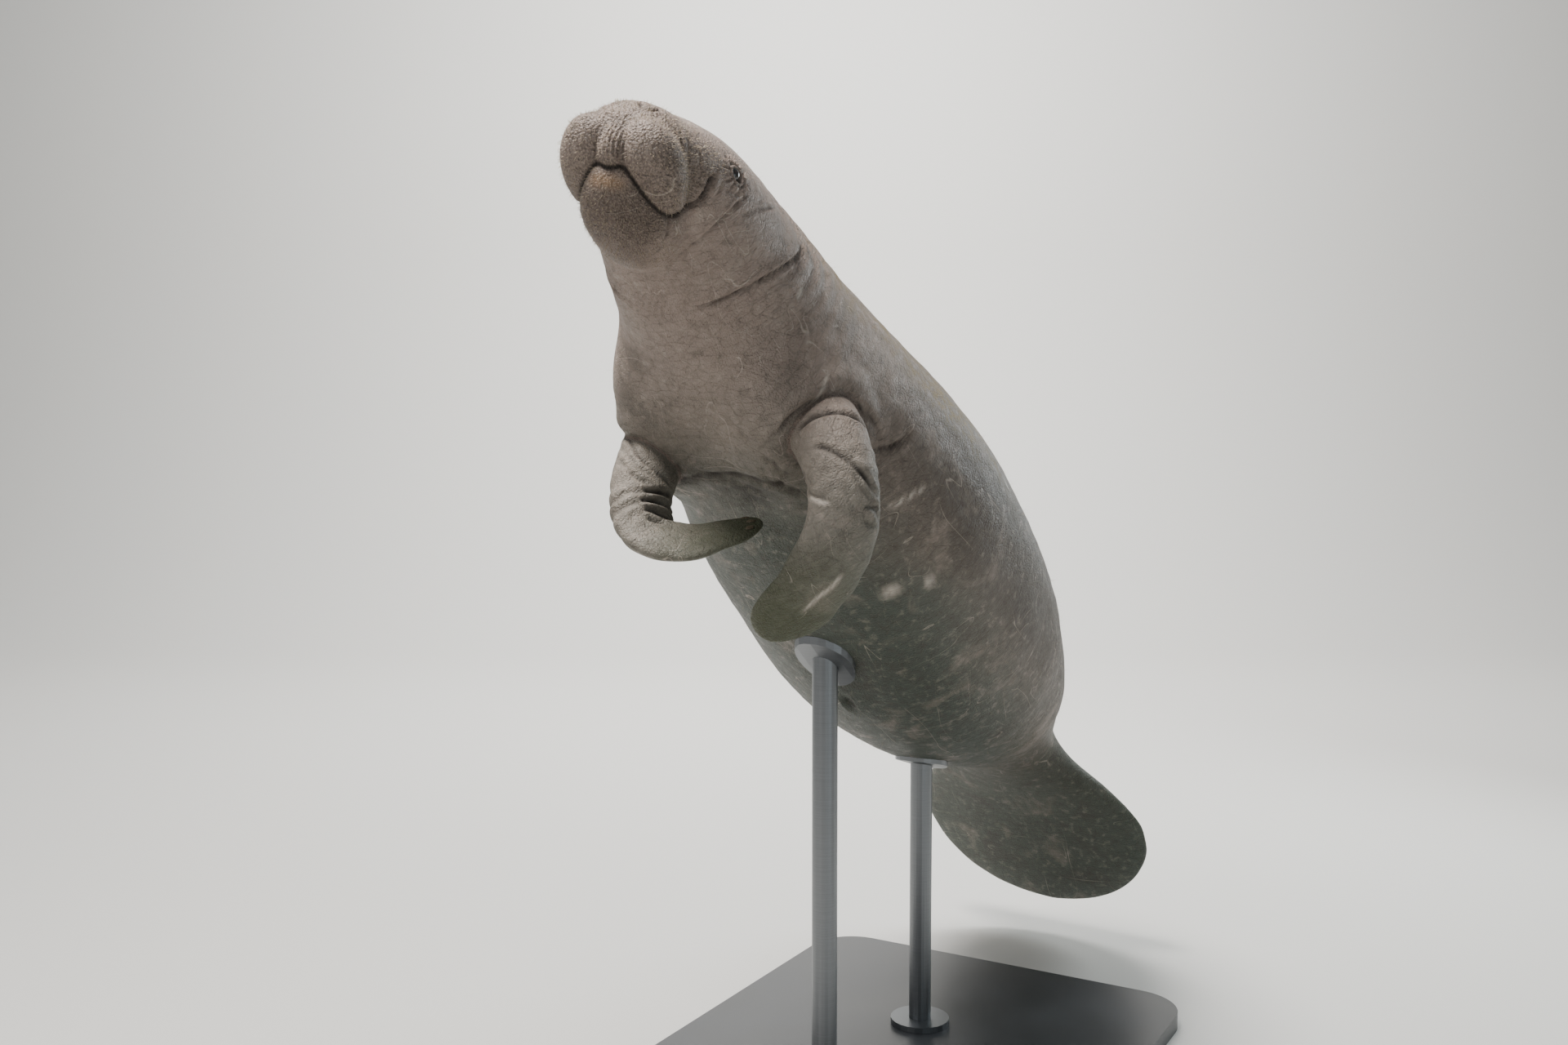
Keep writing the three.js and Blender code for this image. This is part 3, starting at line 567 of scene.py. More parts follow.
def armpit_relief(spots, way):
    """Folds that fan out from under each flipper, and a soft swelling of the hide round its
    root, by the distance to the flipper's own surface."""
    out, dark = np.zeros(spots.shape[:-1]), np.zeros(spots.shape[:-1])
    for name, root in (("left", (0.775, 0.235, -0.165)), ("right", (0.735, -0.205, -0.205))):
        off = spots - root
        d = np.linalg.norm(off, axis=-1)
        fan = np.arctan2(off[..., 2] - 0.03, off[..., 0] + 1e-9)
        out += 0.0026 * bell(d - 0.05, 0.04) * np.sin(13 * fan + 30 * d)
        limb = flipper_spots(name, 24, 30)[0][:12].reshape(-1, 3)
        d, _ = nearest(spots, limb, 0.09)
        out += 0.0060 * bell(d - 0.030, 0.016)
        # Painted shade on the body where it meets the flipper
        dark = np.maximum(dark, 0.35 * bell(d - 0.008, 0.012))
    return out, dark


def cleft_relief(spots):
    """Navel and vent: small lengthwise clefts on the belly, each with a raised rim."""
    out, dark = np.zeros(spots.shape[:-1]), np.zeros(spots.shape[:-1])
    for centre, long, wide, depth in ((NAVEL, 0.034, 0.013, 0.010), (VENT, 0.026, 0.030, 0.010)):
        d = np.linalg.norm((spots - centre) / [long, wide, 0.06], axis=-1)
        out += 0.35 * depth * bell(d - 1.7, 0.6) - depth * bell(d, 0.8)
        # Painted shade inside each cleft
        dark = np.maximum(dark, 0.7 * bell(d, 0.9))
    return out, dark


def body_relief(spots, way):
    """How far the skin stands out from the plain body, with the painted shade in creases, pits
    and clefts and the paleness of scars, each from 0 to 1."""
    both = mirrored(spots)
    both_way = way * np.where(spots[..., 1:2] < 0, -1, 1) ** np.array([0, 1, 0])
    s, x, y = spots[..., 0], spots[..., 1], spots[..., 2]
    other_side = [(np.array(p) * [1, -1, 1], d, w) for p, d, w in CHEST_FOLDS.values()]
    parts = [
        folds(both, both_way, HEAD_FOLDS.values(), 0.0085),
        folds(spots, way, CHEST_FOLDS.values(), 0.008),
        folds(spots, way, other_side, 0.010, 0.6),
        nostril_relief(both, both_way),
        eye_relief(both),
        mouth_relief(s, x, y),
        throat_relief(s, x, y, spots),
        armpit_relief(spots, way),
        cleft_relief(spots),
    ]
    out = sum(rise for rise, _ in parts)
    dark = np.max([close for _, close in parts], axis=0)
    rise, pale = scars(spots, way, SCARS, 0.0035)
    out += rise
    # Loose hide: soft, shallow hollows, calmer on the face and the paddle
    calm = np.clip((s - 0.2) / 0.4, 0.2, 1) * np.clip((2.3 - s) / 0.3, 0.25, 1)
    out += 0.0034 * calm * swell(spots, 5, 0.30) + 0.0012 * calm * swell(spots, 6, 0.075)
    # Paddle: a rim in low scallops
    out += 0.0014 * np.clip((s - 2.35) / 0.3, 0, 1) * swell(spots, 8, 0.10)
    return out, dark, pale


def flipper_relief(name, spots, way):
    """The same for a flipper: its folds, a soft unevenness, and wrinkles across its elbow."""
    out, dark = folds(spots, way, FLIPPER_FOLDS[name].values(), 0.0075)
    rise, pale = scars(spots, way, FLIPPER_SCARS[name], 0.004)
    out += rise
    along = np.linspace(0, 1, spots.shape[0])[:, None]
    turn = np.linspace(0, 2 * math.pi, spots.shape[1])[None]
    wave = np.sin(along * 90 + 1.5 * np.sin(turn * 2) + 0.8 * np.sin(turn * 5))
    place, width, depth = ELBOW_WRINKLES[name]
    close = bell(along - place, width)
    out += depth * close * wave + 0.0014 * swell(spots, 11, 0.09)
    # The second value is painted shade in the folds and in the troughs of the elbow wrinkles
    return out, np.maximum(dark, 0.5 * close * np.clip(-wave, 0, 1) * depth / 0.003), pale


def grid_faces(rows, count, first=0):
    """Four-cornered faces of a grid that closes round, and a fan on each end."""
    a = np.arange(rows * count).reshape(rows, count) + first
    b = np.roll(a, -1, 1)
    quads = np.stack([a[:-1], a[1:], b[1:], b[:-1]], -1).reshape(-1, 4)
    ends = np.concatenate([
        np.stack([b[0], np.full(count, first + rows * count), a[0]], -1),
        np.stack([a[-1], np.full(count, first + rows * count + 1), b[-1]], -1)])
    return quads, ends


def new_mesh(name, verts, quads, tris=None):
    """A mesh object from arrays of places and faces, smooth shaded."""
    mesh = bpy.data.meshes.new(name)
    tris = np.zeros((0, 3), int) if tris is None else tris
    corners = np.concatenate([quads.reshape(-1), tris.reshape(-1)]).astype(np.int32)
    starts = np.concatenate([np.arange(len(quads)) * 4, len(quads) * 4 + np.arange(len(tris)) * 3])
    mesh.vertices.add(len(verts))
    mesh.vertices.foreach_set("co", np.asarray(verts, np.float32).reshape(-1))
    mesh.loops.add(len(corners))
    mesh.loops.foreach_set("vertex_index", corners)
    mesh.polygons.add(len(starts))
    mesh.polygons.foreach_set("loop_start", starts.astype(np.int32))
    mesh.update(calc_edges=True)
    mesh.validate()
    mesh.polygons.foreach_set("use_smooth", np.ones(len(mesh.polygons), bool))
    made = bpy.data.objects.new(name, mesh)
    bpy.context.scene.collection.objects.link(made)
    return made


def set_values(made, **values):
    """Puts one number for each vertex on a mesh, by name."""
    for name, numbers in values.items():
        kind = "FLOAT_VECTOR" if numbers.ndim == 2 else "FLOAT"
        layer = made.data.attributes.new(name, kind, "POINT")
        flat = numbers.astype(np.float32).reshape(-1)
        layer.data.foreach_set("vector" if numbers.ndim == 2 else "value", flat)


def closed_grid(name, spots, way, relief, extra):
    """A closed skin mesh from a grid in body coordinates, pushed outwards by its relief, with
    its painted crease shade, scar and other numbers on its vertices."""
    out, dark, pale = relief
    moved = spots + way * out[..., None]
    rows, count = spots.shape[:2]
    ends = np.stack([moved[0].mean(0), moved[-1].mean(0)])
    flat = np.concatenate([moved.reshape(-1, 3), ends])
    quads, tris = grid_faces(rows, count)
    made = new_mesh(name, bend(flat), quads, tris)
    pad = lambda v: np.concatenate([v.reshape(-1), [v[0].mean(), v[-1].mean()]])
    set_values(made, crease=pad(dark), scar=pad(pale), hide=flat, **{k: pad(v) for k, v in extra.items()})
    return made


def read_list(items, name, kind, size=1):
    """One property of all items of a mesh, as an array with a row for each."""
    numbers = np.empty(len(items) * size, kind)
    items.foreach_get(name, numbers)
    return numbers.reshape(-1, size) if size > 1 else numbers


def read_places(mesh):
    """Where a mesh's vertices are."""
    return read_list(mesh.vertices, "co", np.float32, 3).astype(float)


def read_triangles(mesh):
    """The three vertices of each of a mesh's triangles."""
    mesh.calc_loop_triangles()
    return read_list(mesh.loop_triangles, "vertices", np.int32, 3)


def read_values(mesh, name, size=1):
    """The numbers that set_values put on the vertices."""
    return read_list(mesh.attributes[name].data, "vector" if size == 3 else "value", np.float32, size)


def outwards(made):
    """Turns a closed mesh's faces outwards if its volume comes out less than 0."""
    co, tri = read_places(made.data), read_triangles(made.data)
    a, b, c = (co[tri[:, k]] for k in range(3))
    if (a * np.cross(b, c)).sum() < 0:
        made.data.flip_normals()
    return made


def apply_modifier(made, modifier):
    """Applies one modifier to an object's mesh."""
    bpy.context.view_layer.objects.active = made
    bpy.ops.object.modifier_apply(modifier=modifier.name)


def soften_roots(mesh, rounds=10, width=0.015):
    """Smooths the skin where a flipper leaves the body: each vertex near the join moves
    towards the mean of its neighbours, by less the further from the join it is."""
    co = read_places(mesh)
    a, b = read_list(mesh.edges, "vertices", np.int32, 2).T
    limb = read_values(mesh, "limb")
    across = np.abs(limb[a] - limb[b]) > 0.5
    join = np.unique(np.concatenate([a[across], b[across]]))
    near = np.zeros(len(co))
    index = np.nonzero(np.all((co > co[join].min(0) - width) & (co < co[join].max(0) + width), axis=1))[0]
    for part in np.array_split(index, max(len(index) // 3000, 1)):
        gap = np.linalg.norm(co[part, None] - co[join][None], axis=2).min(1)
        near[part] = np.clip(1 - gap / width, 0, 1)
    count = np.bincount(np.concatenate([a, b]), minlength=len(co))[:, None]
    for _ in range(rounds):
        total = np.zeros_like(co)
        np.add.at(total, a, co[b])
        np.add.at(total, b, co[a])
        co += (total / count - co) * (0.6 * near)[:, None]
    mesh.vertices.foreach_set("co", co.astype(np.float32).reshape(-1))
    mesh.update()


def make_skin():
    """The whole hide as one closed skin: the body and both flippers, joined."""
    spots, way = body_spots()
    zero = np.zeros(spots.shape[:-1])
    skin = outwards(closed_grid("skin", spots, way, body_relief(spots, way), {"limb": zero, "reach": zero}))
    for name in FLIPPERS:
        spots, way = flipper_spots(name)
        along = np.repeat(np.linspace(0, 1, spots.shape[0])[:, None], spots.shape[1], 1)
        extra = {"limb": np.ones(along.shape), "reach": along}
        limb = outwards(closed_grid("limb", spots, way, flipper_relief(name, spots, way), extra))
        joined = skin.modifiers.new("join", "BOOLEAN")
        joined.operation, joined.solver, joined.object = "UNION", "MANIFOLD", limb
        apply_modifier(skin, joined)
        bpy.data.objects.remove(limb)
    soften_roots(skin.data)
    skin.data.polygons.foreach_set("use_smooth", np.ones(len(skin.data.polygons), bool))
    return skin


class Value:
    """A shader socket that sums and products can be written with."""

    def __init__(self, finish, socket):
        self.finish, self.socket = finish, socket

    def _math(self, operation, *others):
        return self.finish.node("ShaderNodeMath", {"operation": operation}, dict(enumerate(others)))

    def __add__(self, other): return self._math("ADD", self, other)
    def __radd__(self, other): return self._math("ADD", other, self)
    def __sub__(self, other): return self._math("SUBTRACT", self, other)
    def __rsub__(self, other): return self._math("SUBTRACT", other, self)
    def __mul__(self, other): return self._math("MULTIPLY", self, other)

    def abs(self):
        """The size without the sign."""
        return self._math("ABSOLUTE", self)

    def clip(self):
        """Kept within 0 and 1."""
        return self._math("MINIMUM", self._math("MAXIMUM", self, 0.0), 1.0)

    def step(self, low, high):
        """0 below low, 1 above high, and a smooth rise between."""
        settings = {"interpolation_type": "SMOOTHSTEP"}
        inputs = {"Value": self, "From Min": low, "From Max": high}
        return self.finish.node("ShaderNodeMapRange", settings, inputs)


class Finish:
    """A material under construction."""

    def __init__(self, name):
        self.material = bpy.data.materials.new(name)
        self.material.use_nodes = True
        self.nodes, self.links = self.material.node_tree.nodes, self.material.node_tree.links
        self.shader = self.nodes["Principled BSDF"]

    def node(self, kind, settings=None, inputs=None, output=0):
        """Adds a node: its settings first, then the values or links of its sockets."""
        node = self.nodes.new(kind)
        for key, value in (settings or {}).items():
            setattr(node, key, value)
        for key, value in (inputs or {}).items():
            self.put(node.inputs[key], value)
        return Value(self, node.outputs[output])

    def put(self, socket, value):
        """Sets a socket to a number or colour, or links it."""
        if isinstance(value, Value):
            self.links.new(value.socket, socket)
        elif isinstance(value, tuple) and len(value) == 3 and socket.type == "RGBA":
            socket.default_value = (*value, 1)
        else:
            socket.default_value = value

    def mix(self, share, a, b):
        """Colour b over colour a. A colour is another mix or 0xRRGGBB."""
        node = self.nodes.new("ShaderNodeMix")
        node.data_type = "RGBA"
        self.put(node.inputs[0], share)
        for index, value in ((6, a), (7, b)):
            self.put(node.inputs[index], value if isinstance(value, Value) else linear(value))
        return Value(self, node.outputs[2])

    def noise(self, place, scale, detail=4.0, rough=0.55, distortion=0.0):
        """Even noise, about 0.3 to 0.7."""
        inputs = {"Vector": place, "Scale": scale, "Detail": detail, "Roughness": rough,
                  "Distortion": distortion}
        return self.node("ShaderNodeTexNoise", None, inputs)

    def cells(self, place, scale, feature="F1"):
        """Distance to the nearest of scattered points, or to the edges between them."""
        return self.node("ShaderNodeTexVoronoi", {"feature": feature}, {"Vector": place, "Scale": scale})

    def own_place(self):
        """The place in the piece's own coordinates."""
        return self.node("ShaderNodeTexCoord", output=3)

    def attribute(self, name, output=2):
        """A number on the vertices, by name."""
        return self.node("ShaderNodeAttribute", {"attribute_name": name}, None, output)

    def stretched(self, place, x, y, z):
        """Places scaled by a different amount each way."""
        inputs = {0: place, 1: (x, y, z)}
        return self.node("ShaderNodeVectorMath", {"operation": "MULTIPLY"}, inputs)

    def bump(self, height, distance, strength=1.0, normal=None):
        """A normal bent by a height."""
        inputs = {"Height": height, "Distance": distance, "Strength": strength}
        if normal is not None:
            inputs["Normal"] = normal
        return self.node("ShaderNodeBump", None, inputs)

    def set(self, **values):
        """Sets the main shader's sockets."""
        for key, value in values.items():
            self.put(self.shader.inputs[key.replace("_", " ")], value)
        return self.material


def linear(hexed):
    """An 0xRRGGBB colour as linear light."""
    parts = [((hexed >> shift) & 255) / 255 for shift in (16, 8, 0)]
    return tuple(c / 12.92 if c <= 0.04045 else ((c + 0.055) / 1.055) ** 2.4 for c in parts)


def skin_finish():
    """Grey-brown hide: pinker on the face and back, greener and darker towards the belly and tail
    (partly the hide's own tone, partly painted water-green light and shade), painted shade in creases,
    under the chin, in the lee of the flippers and along the paddle's rim, with scars, scratches,
    fine wrinkles, algae on the nape and a pebbled muzzle."""
    f = Finish("hide")
    place = f.own_place()
    hide = f.attribute("hide", 1)
    s = f.node("ShaderNodeSeparateXYZ", None, {0: hide})
    x, y = (Value(f, s.socket.node.outputs[k]) for k in (1, 2))
    crease, scar, limb, reach = (f.attribute(n) for n in ("crease", "scar", "limb", "reach"))
    broad = f.noise(place, 2.6, 4, 0.6)
    patch = f.noise(place, 8.0, 6, 0.62, 0.5)
    fine = f.noise(place, 48.0, 5, 0.65)
    grain = f.noise(place, 260.0, 3, 0.6)

    colour = f.mix((s + (broad - 0.5) * 0.7).step(0.1, 1.3), 0x94847A, 0x756C62)
    back = (y + (broad - 0.5) * 0.25).step(0.0, 0.26)
    colour = f.mix(back * s.step(0.2, 0.7) * 0.72, colour, 0x6A5B4E)
    flank = 1 - (y + (broad - 0.5) * 0.2).step(0.05, 0.30)
    flank = flank * (y + (patch - 0.5) * 0.15).step(-0.22, -0.02)
    colour = f.mix(flank * s.step(0.6, 1.0) * 0.65, colour, 0x4B433B)
    # Greener, darker belly: partly the hide's own green-grey tone, partly painted water-green light and
    # shade on the underside
    belly = 1 - (y + (broad - 0.5) * 0.24).step(-0.26, -0.06)
    colour = f.mix(belly * s.step(0.3, 0.9) * 0.6, colour, 0x5F6A60)
    # Painted shade: the belly darker in the lee of the flippers
    flipper_lee_shade = belly * (s + (patch - 0.5) * 0.1).step(0.66, 0.82) * (1 - limb)
    colour = f.mix(flipper_lee_shade * 0.72, colour, 0x3A443D)
    # Greener paddle and tail: partly the hide's own tone, partly painted water-green light
    colour = f.mix((s + (patch - 0.5) * 0.4).step(1.9, 2.5) * 0.85, colour, 0x50584E)
    colour = f.mix(patch.step(0.50, 0.72) * 0.45, colour, 0x4A443C)
    colour = f.mix((1 - patch.step(0.30, 0.47)) * 0.35, colour, 0xA89A8E)
    colour = f.mix((fine - 0.5).step(0.02, 0.20) * 0.40, colour, 0x4E473F)
    colour = f.mix((0.5 - fine).step(0.03, 0.20) * 0.28, colour, 0xB5A89B)
    nape = (y + (patch - 0.5) * 0.14).step(0.06, 0.15) * s.step(0.34, 0.50) * (1 - s.step(0.95, 1.3))
    colour = f.mix(nape * fine.step(0.40, 0.60) * patch.step(0.34, 0.56) * 0.75, colour, 0x7F6C40)
    tip = limb * (reach + (patch - 0.5) * 0.25).step(0.50, 0.82)
    colour = f.mix(tip * 0.8, colour, 0x454A33)
    # Painted shade: the paddle darker along its side edges
    paddle_rim_shade = s.step(2.35, 2.6) * x.abs().step(0.20, 0.31)
    colour = f.mix(paddle_rim_shade * 0.5, colour, 0x3F4A40)

    muzzle = (1 - s.step(0.12, 0.17)) * (1 - (y + (patch - 0.5) * 0.03).step(0.02, 0.07)) * (1 - limb)
    # Painted shade: the underside of the jaw and chin made darker
    chin = muzzle * (1 - y.step(-0.13, -0.07))
    chin = chin + (1 - s.step(0.20, 0.24)) * (1 - y.step(-0.15, -0.12))
    pebbles = f.cells(place, 240.0)
    colour = f.mix(muzzle * 0.5, colour, 0x7C6E64)
    colour = f.mix(chin.clip() * 0.62, colour, 0x4F4138)
    colour = f.mix(muzzle * (1 - pebbles.step(0.10, 0.40)) * 0.34, colour, 0xA39384)
    colour = f.mix(muzzle * pebbles.step(0.45, 0.72) * 0.38, colour, 0x3A302A)
    lip = muzzle * bell_node(s, 0.035, 0.03) * bell_node(y, -0.105, 0.018) * (1 - x.abs().step(0.02, 0.05))
    colour = f.mix(lip * 0.8, colour, 0x9C7A56)

    scratches = scratch(f, hide, (3.0, 22.0, 22.0), 1.3) + scratch(f, hide, (20.0, 4.0, 9.0), 4.1)
    colour = f.mix(scratches.clip() * 0.5, colour, 0xC4B8AA)
    colour = f.mix(scar * 0.8, colour, 0xD2C7BA)
    specks = 1 - f.cells(place, 230.0).step(0.08, 0.16)
    colour = f.mix(specks * fine.step(0.46, 0.56) * 0.45, colour, 0xCABFB2)
    # Painted shade: creases, the eyes' pits, nostrils, mouth line, armpits and clefts darkened almost to
    # black
    colour = f.mix(crease.step(0.06, 0.95) * 0.9, colour, 0x211B17)

    wrinkles = f.noise(f.stretched(hide, 150.0, 42.0, 42.0), 1.0, 4, 0.62, 0.8)
    pleats = f.noise(f.stretched(hide, 52.0, 180.0, 180.0), 1.0, 3, 0.55, 0.6)
    wide_cells = f.cells(f.stretched(hide, 62.0, 30.0, 30.0), 1.0, "DISTANCE_TO_EDGE").step(0.0, 0.10)
    small_cells = f.cells(place, 165.0, "DISTANCE_TO_EDGE").step(0.0, 0.18)
    colour = f.mix((1 - wide_cells) * 0.16, colour, 0x332C26)
    normal = f.bump(wrinkles + pleats * 0.6, 0.0045, 0.7)
    normal = f.bump(wide_cells, 0.0012, 0.5, normal)
    normal = f.bump(small_cells * 0.5 + fine, 0.0022, 0.7, normal)
    normal = f.bump((1 - pebbles) * muzzle * 1.6 + grain, 0.0014, 0.8, normal)
    rough = 0.50 + (fine - 0.5) * 0.35 + crease * 0.25 - scar * 0.1
    return f.set(Base_Color=colour, Roughness=rough, Normal=normal, IOR=1.4,
                 Subsurface_Weight=0.05, Subsurface_Radius=(0.02, 0.008, 0.005), Subsurface_Scale=0.25)


def bell_node(value, place, width):
    """A bump of height 1 round a place, falling off to 0 over a width, from a smooth rise and a
    smooth fall."""
    return value.step(place - width, place) * (1 - value.step(place, place + width))


def scratch(f, place, stretch, seed):
    """Thin, broken lines: where a stretched noise crosses its middle, kept in scattered patches."""
    inputs = {0: f.stretched(place, *stretch), 1: (seed, seed, seed)}
    moved = f.node("ShaderNodeVectorMath", {"operation": "ADD"}, inputs)
    line = 1 - (f.noise(moved, 1.0, 1, 0.3, 0.3) - 0.5).abs().step(0.0, 0.006)
    return line * f.noise(f.stretched(moved, 0.6, 0.6, 0.6), 1.0, 2).step(0.54, 0.60)


def eye_finish():
    """A dark wet eye."""
    f = Finish("eye")
    place = f.own_place()
    colour = f.mix(f.noise(place, 160.0, 3).step(0.4, 0.7), 0x0B0807, 0x2A1B12)
    return f.set(Base_Color=colour, Roughness=0.08, Coat_Weight=1.0, Coat_Roughness=0.03)


def bristle_finish():
    """Pale, horny bristles."""
    f = Finish("bristle")
    place = f.own_place()
    colour = f.mix(f.noise(place, 400.0, 2).step(0.35, 0.65), 0xB9AA92, 0x8A7B66)
    return f.set(Base_Color=colour, Roughness=0.45)


def nail_finish():
    """Worn horn, mottled in two browns."""
    f = Finish("nail")
    place = f.own_place()
    colour = f.mix(f.noise(place, 300.0, 3).step(0.35, 0.7), 0x6E6350, 0x463E33)
    return f.set(Base_Color=colour, Roughness=0.35)


def board_finish():
    """Dark satin lacquer with a soft orange-peel and a little dust."""
    f = Finish("stand board")
    place = f.own_place()
    cloud = f.noise(place, 5.0, 4)
    fine = f.noise(place, 420.0, 2)
    colour = f.mix(cloud.step(0.35, 0.7), 0x3A3C3E, 0x434548)
    normal = f.bump(fine, 0.0004, 0.35)
    return f.set(Base_Color=colour, Roughness=0.36 + (cloud - 0.5) * 0.18, Normal=normal)


def rod_finish():
    """Brushed steel, with fine lines round the rod."""
    f = Finish("stand rod")
    place = f.own_place()
    lines = f.noise(f.stretched(place, 8.0, 8.0, 900.0), 1.0, 3)
    colour = f.mix(lines, 0x6E7174, 0x8C8F92)
    normal = f.bump(lines, 0.0004, 0.3)
    return f.set(Base_Color=colour, Metallic=1.0, Roughness=0.42 + (lines - 0.5) * 0.2, Normal=normal)


def floor_finish():
    """Pale, plain studio floor."""
    f = Finish("studio floor")
    return f.set(Base_Color=linear(0xDAD8D3), Roughness=0.7)


def ball(name, rows, count, centre, out, ahead, side, place=np.asarray):
    """An ellipsoid: its centre, plus the half axis out times the cosine of an angle, plus that
    angle's sine times ahead by the cosine and side by the sine of a turn. Place carries the
    places into the part's frame."""
    a, t = np.meshgrid(np.linspace(0, math.pi, rows + 2)[1:-1],
                       np.arange(count) / count * 2 * math.pi, indexing="ij")
    a, t = a[..., None], t[..., None]
    verts = centre + np.cos(a) * out + np.sin(a) * (np.cos(t) * ahead + np.sin(t) * side)
    verts = np.concatenate([verts.reshape(-1, 3), [centre + out, centre - out]])
    return outwards(new_mesh(name, place(verts), *grid_faces(rows, count)))


def eyeball(side):
    """An eye: a sphere, sunk into the skin along the way out of it."""
    sign = 1 if side == "left" else -1
    way = unit(bend((EYE + [0, 0.01, 0]) * [1, sign, 1]) - bend(EYE * [1, sign, 1]))
    centre = bend(EYE * [1, sign, 1]) - way * EYEBALL["sunk"]
    aside = unit(np.cross(way, [0, 0, 1.0]))
    axes = np.array([way, aside, np.cross(aside, way)]) * EYEBALL["radius"]
    return ball("eyeball_" + side, 40, 48, centre, *axes)


def skin_faces(skin):
    """The skin's faces as arrays: middle, normal, area, body coordinates, whether on a limb, and
    how much painted crease shade it has."""
    mesh = skin.data
    co, tri = read_places(mesh), read_triangles(mesh)
    cross = np.cross(co[tri[:, 1]] - co[tri[:, 0]], co[tri[:, 2]] - co[tri[:, 0]])
    hide = read_values(mesh, "hide", 3)[tri].mean(1)
    limb, crease = (read_values(mesh, n)[tri].mean(1) for n in ("limb", "crease"))
    return co[tri].mean(1), unit(cross), np.linalg.norm(cross, axis=1) / 2, hide, limb, crease


def strands(name, faces, weight, count, long, thick, lean, seed):
    """Tapering three-sided hairs as one mesh. Each root is a face picked at random by its area
    and weight. A hair's middle runs from its root along the normal and, by lean and by the
    square of the share, back along the body; its radius falls to nothing at the tip."""
    rng = np.random.default_rng(seed)
    middle, normal, area, hide, _, _ = faces
    chance = area * weight
    pick = rng.choice(len(chance), count, p=chance / chance.sum())
    root, out, spot = middle[pick], normal[pick], hide[pick].astype(float)
    back = bend(spot + [0.01, 0, 0]) - bend(spot)
    back = unit(back - out * (back * out).sum(1, keepdims=True))
    side = np.cross(out, back)
    turn = rng.normal(0, 0.35, (count, 1))
    back, side = back * np.cos(turn) + side * np.sin(turn), side * np.cos(turn) - back * np.sin(turn)
    size = long * rng.uniform(0.6, 1.3, (count, 1))
    rings = 4
    verts = []
    for t in np.arange(rings) / rings:
        core = root + size * (out * (t - 0.05) + back * lean * t * t)
        for k in range(3):
            angle = 2 * math.pi * k / 3
            corner = side * math.cos(angle) + (out * 0.5 + back * 0.8) * math.sin(angle)
            verts.append(core + thick * (1 - t) ** 0.7 * corner)
    verts.append(root + size * (out + back * lean))
    per = len(verts)
    verts = np.stack(verts, 1).reshape(-1, 3)
    base = (np.arange(count) * per)[:, None, None]
    ring = np.arange(rings - 1)[:, None] * 3
    k = np.arange(3)[None]
    quads = np.stack([ring + k, ring + (k + 1) % 3, ring + 3 + (k + 1) % 3, ring + 3 + k], -1).reshape(-1, 4)
    last = (rings - 1) * 3
    tris = np.array([[0, 2, 1]] + [[last + j, last + (j + 1) % 3, per - 1] for j in range(3)])
    made = new_mesh(name, verts, (base + quads[None]).reshape(-1, 4), (base + tris[None]).reshape(-1, 3))
    patch(made, spot, per)
    return outwards(made)


def patch(made, spot, per):
    """The hair's own map: each hair is a patch about 0.003 across at its root's place on an
    unwrap of the skin, whose width is the turn about the body and whose height is the place
    along it."""
    around = np.arctan2(spot[:, 1], spot[:, 2]) / (2 * math.pi) + 0.5
    home = np.stack([around * 0.98 + 0.01, spot[:, 0] / LENGTH * 0.98 + 0.01], 1)
    corner = read_list(made.data.loops, "vertex_index", np.int32)
    step = corner % per
    shift = np.stack([(step % 3 - 1) * 0.0012, (step // 3 - 2) * 0.0007], 1)
    layer = made.data.uv_layers.new(name="OFBake")
    layer.data.foreach_set("uv", (home[corner // per] + shift).astype(np.float32).reshape(-1))


def hair(skin):
    """Stiff bristles on the lips, finer stubble on the muzzle and sparse hairs on the body."""
    faces = skin_faces(skin)
    _, _, _, hide, limb, crease = faces
    s, _, y = hide.T
    bare = (limb < 0.5) & (crease < 0.3)
    soft = lambda v, low, high: np.clip((v - low) / (high - low), 0, 1)
    muzzle = bare * (1 - soft(s, 0.12, 0.16)) * (1 - soft(y, 0.02, 0.06))
    chin = bare * (1 - soft(s, 0.17, 0.22)) * (1 - soft(y, -0.12, -0.08))
    body = bare * soft(s, 0.10, 0.3) * (0.35 + 0.65 * soft(y, -0.05, 0.15)) * (1 - soft(s, 2.3, 2.5))
    weight = {"bristles": np.maximum(muzzle, chin * 0.8), "stubble": np.maximum(muzzle, chin),
              "body_hairs": body}
    return [strands(name, faces, weight[name], *HAIR[name]) for name in HAIR]


def nails(name, count=3):
    """Nails by the tip of a flipper: low domes, each an ellipsoid of about 18 by 14 by 5 mm set
    in the skin of the flipper's outer face."""
    spots, way = flipper_spots(name)
    made = []
    for k in range(count):
        row = NAIL_ROW["middle"] - NAIL_ROW["back"] * abs(k - 1)
        column = int(spots.shape[1] * NAIL_TURN[name]) + (k - 1) * NAIL_ROW["apart"]
        centre, out = spots[row, column], way[row, column]
        ahead = unit(spots[row + 1, column] - spots[row - 1, column])
        side = np.cross(out, ahead)
        made.append(ball(f"nail_{name}_{k + 1}", 12, 16, centre, out * NAIL["tall"],
                         ahead * NAIL["long"], side * NAIL["wide"], bend))
    return made


def finish_piece(made, material, slot, *nodes):
    """Gives a piece its material and body, and hides the CAD nodes that it stands for. The slot is not used.
    """
    made.data.materials.clear()
    made.data.materials.append(material)
    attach(made, "root")
    if nodes:
        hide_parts(*nodes)


def lamp(name, place, aim, wide, power, colour=(1, 1, 1)):
    """A round soft light at a place, pointing along a direction."""
    light = bpy.data.lights.new(name, "AREA")
    light.shape, light.size, light.energy, light.color = "DISK", wide, power, colour
    made = bpy.data.objects.new(name, light)
    made.location, made.rotation_euler = place, vector_to_turn(aim)
    bpy.context.scene.collection.objects.link(made)


